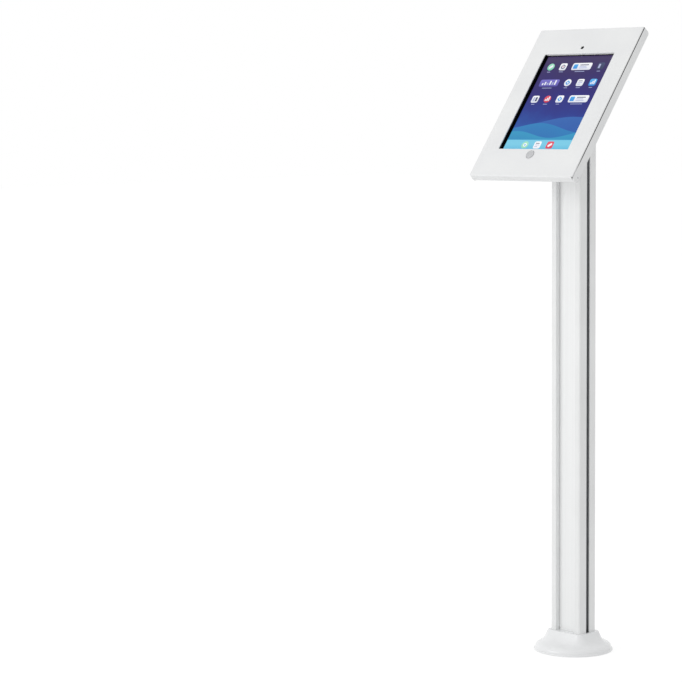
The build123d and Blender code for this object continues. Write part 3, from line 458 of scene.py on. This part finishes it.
def anodisedAluminium():  # bead blasted and anodised: silver with an even sparkle-free haze
    material, tree = newMaterial("blasted anodised aluminium")
    place = addNode(tree, "TexCoord").outputs["Object"]
    cloud = addNode(tree, "TexNoise", {"Vector": place, "Scale": 1 / (tabletShell["cloud"] * mm),
                                       "Detail": 1})
    colour = addNode(tree, "ValToRGB", {"Fac": cloud}, stops=tuple(zip((0.3, 0.7), tabletShell["colours"])))
    blast = addNode(tree, "TexNoise", {"Vector": place, "Scale": 1 / (tabletShell["blast"] * mm)})
    rough = addNode(tree, "MapRange", {"Value": blast, "To Min": tabletShell["rough"][0],
                                       "To Max": tabletShell["rough"][1], **noiseSpan})
    skin = addNode(tree, "Bump", {"Height": blast, "Distance": tabletShell["blastDepth"] * mm})
    surface = addNode(tree, "BsdfPrincipled", {"Base Color": colour, "Metallic": 1.0, "Roughness": rough,
                                               "Normal": skin})
    addNode(tree, "OutputMaterial", {"Surface": surface})
    return material


blackFront = {"colours": ("#060608", "#090a0d"), "smudge": 26, "rough": (0.03, 0.1), "mirror": 0.12}


def coatedBlackGlass():  # cover glass over black ink, with an anti-reflex coat: deep black, dim reflections
    material, tree = newMaterial("coated black glass")
    place = addNode(tree, "TexCoord").outputs["Object"]
    smudge = addNode(tree, "TexNoise", {"Vector": place, "Scale": 1 / (blackFront["smudge"] * mm),
                                        "Detail": 3})
    colour = addNode(tree, "ValToRGB", {"Fac": smudge}, stops=tuple(zip((0.35, 0.7), blackFront["colours"])))
    rough = addNode(tree, "MapRange", {"Value": smudge, "To Min": blackFront["rough"][0],
                                       "To Max": blackFront["rough"][1], **noiseSpan})
    surface = addNode(tree, "BsdfPrincipled", {"Base Color": colour, "Roughness": rough, "IOR": 1.5,
                                               "Specular IOR Level": blackFront["mirror"]})
    addNode(tree, "OutputMaterial", {"Surface": surface})
    return material


buttonMetal = {"colours": ("#c0c1c3", "#cbccce"), "cloud": 3, "rough": (0.24, 0.32), "patch": 2, "ring": 0.5,
               "ringDepth": 0.002}


def satinButtonMetal():  # spun aluminium cap, clear anodised: pale grey with fine rings
    material, tree = newMaterial("spun anodised aluminium")
    place = addNode(tree, "TexCoord").outputs["Object"]
    cloud = addNode(tree, "TexNoise", {"Vector": place, "Scale": 1 / (buttonMetal["cloud"] * mm)})
    colour = addNode(tree, "ValToRGB", {"Fac": cloud}, stops=tuple(zip((0.3, 0.7), buttonMetal["colours"])))
    patch = addNode(tree, "TexNoise", {"Vector": place, "Scale": 1 / (buttonMetal["patch"] * mm)})
    rough = addNode(tree, "MapRange", {"Value": patch, "To Min": buttonMetal["rough"][0],
                                       "To Max": buttonMetal["rough"][1], **noiseSpan})
    ring = addNode(tree, "TexNoise", {"Vector": place, "Scale": 1 / (buttonMetal["ring"] * mm)})
    skin = addNode(tree, "Bump", {"Height": ring, "Distance": buttonMetal["ringDepth"] * mm})
    surface = addNode(tree, "BsdfPrincipled", {"Base Color": colour, "Metallic": 1.0, "Roughness": rough,
                                               "Normal": skin})
    addNode(tree, "OutputMaterial", {"Surface": surface})
    return material


blackPlastic = {"colours": ("#141517", "#1e1f21"), "spark": 0.7, "rough": (0.45, 0.6), "sparkDepth": 0.02}


def texturedBlackPlastic():  # spark eroded mould ABS: black with a fine dull grain
    material, tree = newMaterial("textured black ABS")
    place = addNode(tree, "TexCoord").outputs["Object"]
    spark = addNode(tree, "TexNoise", {"Vector": place, "Scale": 1 / (blackPlastic["spark"] * mm)})
    colour = addNode(tree, "ValToRGB", {"Fac": spark}, stops=tuple(zip((0.3, 0.7), blackPlastic["colours"])))
    rough = addNode(tree, "MapRange", {"Value": spark, "To Min": blackPlastic["rough"][0],
                                       "To Max": blackPlastic["rough"][1], **noiseSpan})
    skin = addNode(tree, "Bump", {"Height": spark, "Distance": blackPlastic["sparkDepth"] * mm})
    surface = addNode(tree, "BsdfPrincipled", {"Base Color": colour, "Roughness": rough, "IOR": 1.53,
                                               "Normal": skin})
    addNode(tree, "OutputMaterial", {"Surface": surface})
    return material


lockPlate = {"colours": ("#bdb9b1", "#cbc8c1"), "cloud": 4, "rough": (0.12, 0.2), "wipe": 0.6,
             "wipeDepth": 0.002, "closedUp": 5}


def nickelPlate():  # polished die cast lock under nickel: warm bright metal, fine wiping marks
    material, tree = newMaterial("polished nickel plate")
    place = addNode(tree, "TexCoord").outputs["Object"]
    cloud = addNode(tree, "TexNoise", {"Vector": place, "Scale": 1 / (lockPlate["cloud"] * mm)})
    colour = addNode(tree, "ValToRGB", {"Fac": cloud}, stops=tuple(zip((0.3, 0.7), lockPlate["colours"])))
    closed = lockPlate["closedUp"]
    wiped = addNode(tree, "Mapping", {"Vector": place, "Scale": (1, closed, closed)})
    wipe = addNode(tree, "TexNoise", {"Vector": wiped, "Scale": 1 / (lockPlate["wipe"] * mm)})
    rough = addNode(tree, "MapRange", {"Value": wipe, "To Min": lockPlate["rough"][0],
                                       "To Max": lockPlate["rough"][1], **noiseSpan})
    skin = addNode(tree, "Bump", {"Height": wipe, "Distance": lockPlate["wipeDepth"] * mm})
    surface = addNode(tree, "BsdfPrincipled", {"Base Color": colour, "Metallic": 1.0, "Roughness": rough,
                                               "Normal": skin})
    addNode(tree, "OutputMaterial", {"Surface": surface})
    return material


# What the display shows: a dusk sky over soft hills, with black side margins

dusk = {"sky": ((0.0, "#2c6fb4"), (0.22, "#2a55a4"), (0.4, "#2b3a8c"), (0.58, "#2f2b78"), (0.8, "#382d66"),
                (1.0, "#453a60")),
        "hills": ((0.30, "#3a6fb8", 0.055, 1.76, 0.4), (0.24, "#2f86bd", 0.05, 2.4, 2.1),
                  (0.17, "#3a9fc4", 0.035, 3.04, 4.0)),
        "haze": 45, "drift": 0.28, "crestEdge": 0.006, "fade": (0.75, 0.25, 0.2), "margin": 3.0,
        "marginInk": "#020203", "strength": 1.0}


bondedGlass = {"Roughness": 0.05, "IOR": 1.5, "Specular IOR Level": blackFront["mirror"]}


def litDisplay():  # LCD under bonded glass: it gives its own light through a deep, dim mirror
    material, tree = newMaterial("backlit LCD under glass")
    flat = facePlane(tree)
    axes = addNode(tree, "SeparateXYZ", {"Vector": flat}).outputs
    halfWide, halfHigh = screenWidth / 2, screenHeight / 2
    rise = addNode(tree, "MapRange", {"Value": axes["Y"], "From Min": -halfHigh, "From Max": halfHigh})
    wide = addNode(tree, "MapRange", {"Value": axes["X"], "From Min": -halfWide, "From Max": halfWide,
                                      "To Min": -1.0, "To Max": 1.0})
    haze = addNode(tree, "TexNoise", {"Vector": flat, "Scale": 1 / (dusk["haze"] * mm), "Detail": 3})
    drift = addNode(tree, "Math", {0: haze, 1: 0.5}, operation="SUBTRACT")
    level = addNode(tree, "Math", {0: drift, 1: dusk["drift"], 2: rise}, operation="MULTIPLY_ADD")
    picture = addNode(tree, "ValToRGB", {"Fac": level}, stops=dusk["sky"])
    near, far, depth = dusk["fade"]
    for height, colour, swell, waves, start in dusk["hills"]:
        bend = addNode(tree, "Math", {0: wide, 1: waves, 2: start}, operation="MULTIPLY_ADD")
        wave = addNode(tree, "Math", {0: bend}, operation="SINE")
        crest = addNode(tree, "Math", {0: wave, 1: swell, 2: height}, operation="MULTIPLY_ADD")
        below = addNode(tree, "Math", {0: crest, 1: rise}, operation="SUBTRACT")
        mask = addNode(tree, "MapRange", {"Value": below, "From Max": dusk["crestEdge"]})
        fade = addNode(tree, "MapRange", {"Value": below, "From Max": depth, "To Min": near, "To Max": far})
        share = addNode(tree, "Math", {0: mask, 1: fade}, operation="MULTIPLY")
        picture = addNode(tree, "Mix", {"Factor": share, 6: picture, 7: linear(colour)},
                          data_type="RGBA").outputs[2]
    edge = addNode(tree, "Math", {0: axes["X"]}, operation="ABSOLUTE")
    margin = addNode(tree, "Math", {0: edge, 1: halfWide - dusk["margin"] * mm}, operation="GREATER_THAN")
    picture = addNode(tree, "Mix", {"Factor": margin, 6: picture, 7: linear(dusk["marginInk"])},
                      data_type="RGBA").outputs[2]
    surface = addNode(tree, "BsdfPrincipled", {"Base Color": linear("#000000"), **bondedGlass,
                                               "Emission Color": picture,
                                               "Emission Strength": dusk["strength"]})
    addNode(tree, "OutputMaterial", {"Surface": surface})
    return material


finishes = {
    powderCoatedSteel: ("front_cover", "tilt_bracket"),
    caseSteelWithSeamShade: ("rear_case",),
    coatedExtrusion: ("column",),
    extrudedPlastic: ("front_infill", "rear_infill"),
    mouldedGlossPlastic: ("base_cover",),
    zincPlatedSteel: ("base_plate", "base_screws", "block_screws", "tilt_bolt", "tilt_nut", "bracket_screws",
                      "clinch_nuts", "hinge_pins", "button_spring", "lock_catch", "lock_cam", "cam_screw"),
    castAluminium: ("tilt_block",),
    frictionFibre: ("friction_washers",),
    mouldedRubber: ("column_grommet", "head_grommet"),
    anodisedAluminium: ("tablet_body",),
    coatedBlackGlass: ("tablet_glass",),
    litDisplay: ("tablet_display",),
    satinButtonMetal: ("home_button",),
    texturedBlackPlastic: ("button_guide",),
    nickelPlate: ("lock_housing", "lock_ring", "lock_plug"),
}
made = {}
for finish, members in finishes.items():
    made[finish] = finish()
    for member in members:
        for materialSlot in nodes[member].material_slots:
            materialSlot.material = made[finish]
made[openCellFoam] = openCellFoam()
made[closedCellTape] = closedCellTape()
print("finishes on", sum(len(m) for m in finishes.values()), "nodes")


def addPiece(name, bm, materials, body, place=None):  # a finished mesh as a piece on its body
    if place:
        bmesh.ops.transform(bm, matrix=place, verts=bm.verts)
    mesh = bpy.data.meshes.new(name)
    bm.to_mesh(mesh)
    bm.free()
    for material in materials:
        mesh.materials.append(material)
    piece = bpy.data.objects.new(name, mesh)
    bpy.context.collection.objects.link(piece)
    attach(piece, body)
    return piece


def joinInto(whole, part, place=None, paint=0):  # adds a part to a whole, in one of its materials
    if place:
        bmesh.ops.transform(part, matrix=place, verts=part.verts)
    for face in part.faces:
        face.material_index = paint
    holder = bpy.data.meshes.new("holder")
    part.to_mesh(holder)
    part.free()
    whole.from_mesh(holder)
    bpy.data.meshes.remove(holder)


def onFace(across, up, out):  # a place on the head, in mm from the middle of the glass
    return Matrix.Translation((across * mm, up * mm, out * mm))


# Foam: cut from sheet, so its edges are soft and its faces swell a little where nothing presses

foam = {"voxel": 1.1, "rounding": 3, "swell": 0.12, "swellSize": 9.0, "weld": 0.001, "fill": 0.9}


def makeFoam(name, node, body, material):  # a soft copy of the CAD block, in its place
    bm = bmesh.new()
    bm.from_mesh(nodes[node].data)
    bmesh.ops.remove_doubles(bm, verts=bm.verts, dist=foam["weld"] * mm)
    source = bpy.data.meshes.new(name + "_block")
    bm.to_mesh(source)
    bm.free()
    block = bpy.data.objects.new(name + "_block", source)
    bpy.context.collection.objects.link(block)
    remesh = block.modifiers.new("cells", "REMESH")
    remesh.mode = "VOXEL"
    remesh.voxel_size = foam["voxel"] * mm
    shaped = bpy.data.meshes.new_from_object(block.evaluated_get(bpy.context.evaluated_depsgraph_get()))
    bpy.data.objects.remove(block)
    bpy.data.meshes.remove(source)
    bm = bmesh.new()
    bm.from_mesh(shaped)
    bpy.data.meshes.remove(shaped)
    for _ in range(foam["rounding"]):
        bmesh.ops.smooth_vert(bm, verts=bm.verts, factor=0.5, use_axis_x=True, use_axis_y=True,
                              use_axis_z=True)
    bm.normal_update()
    for vert in bm.verts:
        lift = noise.noise(vert.co / (foam["swellSize"] * mm))
        vert.co += vert.normal * lift * foam["swell"] * mm
    for face in bm.faces:
        face.smooth = True
    piece = addPiece(name, bm, [material], body)
    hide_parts(node)


makeFoam("window_foam", "window_pads", "cover", made[openCellFoam])
makeFoam("corner_foam", "corner_pads", "head", made[openCellFoam])
makeFoam("back_foam", "back_pads", "head", made[openCellFoam])
makeFoam("top_foam_tape", "top_tape", "cover", made[closedCellTape])
print("foam made")


# The home screen: tiles, cards and a bar of this design's own, lit from behind

lit = {"white": ("#dfe3ee", "#fbfcfe"), "frost": ("#a9b2d8", "#b9bede"), "slate": ("#3a4160", "#4a5274"),
       "mint": ("#7ecfae", "#a6e3c6"), "sky": ("#2f86d6", "#5db4ee"), "coral": ("#c92a45", "#e65a6c"),
       "violet": ("#5a54a8", "#7d76cc"), "bar": ("#58b2d8", "#7ccbe6")}
homeScreen = {"pitch": (27.0, 34.0), "top": 76.0, "barRow": -87.0, "tile": 14.6, "corner": 0.44,
              "layer": 0.05, "sheet": 0.06, "captionDrop": 10.6, "captionHeight": 1.1,
              "captionShares": (0.5, 0.62), "barHeight": 22.0, "barRoundness": 0.02, "rounding": 5}

# Marks on a tile: across, up, width, height, roundness from 0 to 1, turn in degrees, paint
marks = {
    "sun": ((0, 0, 7.4, 7.4, 1, 0, "white"), (0, 0, 3.4, 3.4, 1, 0, "sky")),
    "note": ((-0.6, 3.4, 8.4, 1.5, 1, 0, "slate"), (0, 0, 9.6, 1.5, 1, 0, "frost"),
             (-1.6, -3.4, 6.4, 1.5, 1, 0, "frost")),
    "ring": ((0, 0, 8.8, 8.8, 1, 0, "slate"), (0, 0, 5.6, 5.6, 1, 0, "white"),
             (0, 0, 2.2, 2.2, 1, 0, "coral")),
    "steps": ((-3.4, -1.8, 2.3, 4.2, 0.4, 0, "white"), (0, -0.6, 2.3, 6.6, 0.4, 0, "white"),
              (3.4, 0.7, 2.3, 9.2, 0.4, 0, "white")),
    "kite": ((0, 0, 7.4, 7.4, 0.25, 45, "sky"), (0, 0, 3.2, 3.2, 0.3, 45, "white")),
    "leaf": ((0, 0, 9.4, 4.6, 0.98, 38, "white"),),
    "pair": ((-2.7, 0, 3.9, 8.8, 0.35, 0, "frost"), (2.7, 0, 3.9, 8.8, 0.35, 0, "slate")),
    "card": ((-13.4, 0, 9.4, 9.4, 0.3, 0, "sky"), (4.6, 3.1, 19.0, 1.7, 1, 0, "slate"),
             (2.6, -0.1, 15.0, 1.5, 1, 0, "frost"), (3.8, -3.3, 17.4, 1.5, 1, 0, "frost")),
    "graph": ((-13.5, -2.2, 3.0, 4.2, 0.4, 0, "white"), (-8.1, -1.0, 3.0, 6.6, 0.4, 0, "white"),
              (-2.7, -2.0, 3.0, 4.6, 0.4, 0, "frost"), (2.7, 0, 3.0, 8.6, 0.4, 0, "white"),
              (8.1, -1.5, 3.0, 5.6, 0.4, 0, "frost"), (13.5, 0.6, 3.0, 9.8, 0.4, 0, "white"))}

# Tiles by row: column, columns it spans, round or not, paint, mark
tileRows = (((0, 1, True, "mint", "leaf"), (1, 1, False, "white", "ring"), (2, 2, False, "white", "card"),
             (4, 1, False, "slate", "pair")),
            ((0, 2, False, "violet", "graph"), (2, 1, True, "white", "kite"), (3, 1, False, "white", "note"),
             (4, 1, False, "sky", "steps")),
            ((0, 1, False, "white", "pair"), (1, 1, True, "coral", "steps"), (2, 1, False, "white", "kite"),
             (3, 2, False, "white", "card")))
barTiles = ((1, 1, True, "mint", "sun"), (2, 1, False, "white", "note"), (3, 1, False, "coral", "leaf"))


def litPaint(name, low, high):  # a lit colour of the picture, deeper at each tile's foot
    material, tree = newMaterial("backlit picture " + name)
    axes = addNode(tree, "SeparateXYZ", {"Vector": facePlane(tree)}).outputs
    pitch = homeScreen["pitch"][1] * mm
    start = 0.5 - homeScreen["top"] * mm / pitch
    rows = addNode(tree, "Math", {0: axes["Y"], 1: 1 / pitch, 2: start}, operation="MULTIPLY_ADD")
    within = addNode(tree, "Math", {0: rows}, operation="FRACT")
    colour = addNode(tree, "ValToRGB", {"Fac": within}, stops=((0.28, low), (0.72, high)))
    surface = addNode(tree, "BsdfPrincipled", {"Base Color": linear("#000000"), **bondedGlass,
                                               "Emission Color": colour,
                                               "Emission Strength": dusk["strength"]})
    addNode(tree, "OutputMaterial", {"Surface": surface})
    return material


def roundedPlate(width, height, roundness):  # a flat plate in mm with round corners
    bm = bmesh.new()
    bmesh.ops.create_grid(bm, x_segments=1, y_segments=1, size=0.5)
    bmesh.ops.scale(bm, vec=(width * mm, height * mm, 1), verts=bm.verts)
    corner = min(width, height) / 2 * roundness * 0.999  # a hair short of full, so that no two corners meet
    bmesh.ops.bevel(bm, geom=bm.verts[:], offset=corner * mm, segments=homeScreen["rounding"], profile=0.5,
                    affect="VERTICES", material=-1)
    return bm


def makeTiles(name, tiles, up, bar=None):  # one row of tiles, with their marks and caption lines
    whole = bmesh.new()
    paints = list(lit)
    layer = homeScreen["layer"]
    if bar:
        joinInto(whole, roundedPlate(*bar, homeScreen["barRoundness"]), onFace(0, up, layer),
                 paints.index("bar"))
    for column, span, isRound, paint, mark in tiles:
        across = (column - 2 + (span - 1) / 2) * homeScreen["pitch"][0]
        width = homeScreen["tile"] + (span - 1) * homeScreen["pitch"][0]
        roundness = 1 if isRound else homeScreen["corner"]
        joinInto(whole, roundedPlate(width, homeScreen["tile"], roundness), onFace(across, up, 2 * layer),
                 paints.index(paint))
        for level, (right, rise, wide, high, bend, turn, ink) in enumerate(marks[mark], 3):
            spin = Matrix.Rotation(radians(turn), 4, "Z")
            place = onFace(across + right, up + rise, level * layer) @ spin
            joinInto(whole, roundedPlate(wide, high, bend), place, paints.index(ink))
        if not bar:
            line = width * homeScreen["captionShares"][column % 2]
            joinInto(whole, roundedPlate(line, homeScreen["captionHeight"], 1),
                     onFace(across, up - homeScreen["captionDrop"], layer), paints.index("frost"))
    piece = addPiece(name, whole, [litPaints[paint] for paint in paints], "head", toHead)
    sheet = piece.modifiers.new("sheet", "SOLIDIFY")
    sheet.thickness = homeScreen["sheet"] * mm
    sheet.offset = -1


litPaints = {name: litPaint(name, *colours) for name, colours in lit.items()}
for number, tiles in enumerate(tileRows, 1):
    height = homeScreen["top"] - (number - 1) * homeScreen["pitch"][1]
    makeTiles("home_screen_row_" + str(number), tiles, height)
litWidth = screenWidth / mm - 2 * dusk["margin"]
makeTiles("home_screen_bar", barTiles, homeScreen["barRow"], bar=(litWidth, homeScreen["barHeight"]))
print("home screen drawn")


# Small parts of the tablet: key on the glass, camera, side keys, port and speaker holes

tabletParts = {"halfWidth": 84.75, "halfHeight": 120.0, "middle": -4.4, "homeUp": -110.25, "homeSize": 10.6,
               "homeRing": 0.5, "homeLift": 0.04, "lensUp": 112.0, "lensSize": 2.4, "lensRise": 0.12,
               "lensRing": 0.35, "lensRingHeight": 0.1, "lensRingUp": 0.02,
               "keySize": (9.5, 2.2), "keyProud": 0.5, "keysUp": (61.0, 48.5), "powerAcross": 58.0,
               "capEdge": 0.35, "portSize": (9.2, 2.8), "portLip": 0.35, "portProud": 0.1, "lipProud": 0.06,
               "holeSize": 1.2, "holePitch": 2.4, "holes": 6, "holesFrom": 16.0}


def makeHomeKey():  # a thin metal ring around a black disc, flush with the glass
    p = tabletParts
    whole = bmesh.new()
    ring = bmesh.new()
    bmesh.ops.create_circle(ring, cap_ends=True, segments=64, radius=p["homeSize"] / 2 * mm)
    rim = bmesh.ops.inset_region(ring, faces=ring.faces[:], thickness=p["homeRing"] * mm,
                                 use_even_offset=True)
    inner = [face for face in ring.faces if face not in rim["faces"]]
    bmesh.ops.delete(ring, geom=inner, context="FACES")
    joinInto(whole, ring, onFace(0, p["homeUp"], p["homeLift"]))
    disc = bmesh.new()
    bmesh.ops.create_circle(disc, cap_ends=True, segments=64,
                            radius=(p["homeSize"] / 2 - p["homeRing"]) * mm)
    joinInto(whole, disc, onFace(0, p["homeUp"], p["homeLift"] / 2), paint=1)
    piece = addPiece("tablet_home_key", whole, [made[anodisedAluminium], made[coatedBlackGlass]], "head",
                     toHead)
    skin = piece.modifiers.new("skin", "SOLIDIFY")
    skin.thickness = p["homeLift"] * mm
    skin.offset = -1


def makeCameraLens():  # a small glass dome in a dark ring
    p = tabletParts
    whole = bmesh.new()
    dome = bmesh.new()
    bmesh.ops.create_uvsphere(dome, u_segments=32, v_segments=16, radius=p["lensSize"] / 2 * mm)
    bmesh.ops.scale(dome, vec=(1, 1, p["lensRise"]), verts=dome.verts)
    for face in dome.faces:
        face.smooth = True
    joinInto(whole, dome, onFace(0, p["lensUp"], 0))
    ring = bmesh.new()
    bmesh.ops.create_cone(ring, cap_ends=True, segments=48, radius1=(p["lensSize"] / 2 + p["lensRing"]) * mm,
                          radius2=(p["lensSize"] / 2 + p["lensRing"] / 2) * mm,
                          depth=p["lensRingHeight"] * mm)
    joinInto(whole, ring, onFace(0, p["lensUp"], p["lensRingUp"]), paint=1)
    addPiece("tablet_camera", whole, [made[coatedBlackGlass], made[texturedBlackPlastic]], "head",
             toHead)


def pill(width, height, proud):  # a key's cap: a rounded plate drawn out, with a soft top edge
    bm = roundedPlate(width, height, 1)
    top = bmesh.ops.extrude_face_region(bm, geom=bm.faces[:])["geom"]
    raised = [v for v in top if isinstance(v, bmesh.types.BMVert)]
    bmesh.ops.translate(bm, vec=(0, 0, proud * mm), verts=raised)
    rim = [e for e in bm.edges if all(v in raised for v in e.verts)]
    bmesh.ops.bevel(bm, geom=rim, offset=tabletParts["capEdge"] * proud * mm, segments=2, profile=0.5,
                    affect="EDGES", material=-1)
    bmesh.ops.recalc_face_normals(bm, faces=bm.faces)
    return bm


def makeTabletEdges():  # two keys at the right, one on top, port and speaker holes at the bottom
    p = tabletParts
    toRight = Matrix.Rotation(pi / 2, 4, "Y") @ Matrix.Rotation(pi / 2, 4, "Z")
    toTop = Matrix.Rotation(-pi / 2, 4, "X")
    toBottom = Matrix.Rotation(pi / 2, 4, "X")
    middle = p["middle"]
    keys = bmesh.new()
    for up in p["keysUp"]:
        joinInto(keys, pill(*p["keySize"], p["keyProud"]), onFace(p["halfWidth"], up, middle) @ toRight)
    onTop = onFace(p["powerAcross"], p["halfHeight"], middle) @ toTop
    joinInto(keys, pill(*p["keySize"], p["keyProud"]), onTop)
    addPiece("tablet_keys", keys, [made[anodisedAluminium]], "head", toHead)
    port = bmesh.new()
    below = onFace(0, -p["halfHeight"], middle) @ toBottom
    lip = pill(p["portSize"][0] + 2 * p["portLip"], p["portSize"][1] + 2 * p["portLip"], p["lipProud"])
    joinInto(port, lip, below)
    joinInto(port, pill(*p["portSize"], p["portProud"]), below, paint=1)
    for side in (-1, 1):
        for number in range(p["holes"]):
            across = side * (p["holesFrom"] + number * p["holePitch"])
            joinInto(port, pill(p["holeSize"], p["holeSize"], p["lipProud"]),
                     onFace(across, -p["halfHeight"], middle) @ toBottom, paint=1)
    addPiece("tablet_port", port, [made[anodisedAluminium], made[texturedBlackPlastic]], "head",
             toHead)


makeHomeKey()
makeCameraLens()
makeTabletEdges()
print("tablet details made")


# Weld beads at the roots of the bracket's ears, under the same powder

weldBead = {"length": 46.0, "radius": 1.9, "ripple": 1.8, "rippleShare": 0.1, "rings": 104, "around": 20,
            "earOutside": 19.1, "plateBack": -15.4, "pivotUp": 13.4, "endShare": 0.12}


def makeWeld(name, side):  # a bead with crescent ripples and tapered ends
    w = weldBead
    bm = bmesh.new()
    bmesh.ops.create_cone(bm, cap_ends=True, segments=w["around"], radius1=w["radius"] * mm,
                          radius2=w["radius"] * mm, depth=w["length"] * mm)
    lengthwise = [e for e in bm.edges if abs(e.verts[0].co.z - e.verts[1].co.z) > w["radius"] * mm]
    bmesh.ops.subdivide_edges(bm, edges=lengthwise, cuts=w["rings"], use_grid_fill=True)
    for vert in bm.verts:
        along = abs(vert.co.z) / (w["length"] / 2 * mm)
        crescent = abs(sin(pi * vert.co.z / (w["ripple"] * mm))) ** 0.5
        size = (1 - w["rippleShare"] * (1 - crescent)) * max(w["endShare"], 1 - along ** 12) ** 0.5
        vert.co.x *= size
        vert.co.y *= size
    for face in bm.faces:
        face.smooth = True
    upright = Matrix.Rotation(-pi / 2, 4, "X")
    place = onFace(side * w["earOutside"], w["pivotUp"], w["plateBack"]) @ upright
    addPiece(name, bm, [made[powderCoatedSteel]], "head", toHead @ place)


makeWeld("left_ear_weld", -1)
makeWeld("right_ear_weld", 1)
print("welds made")
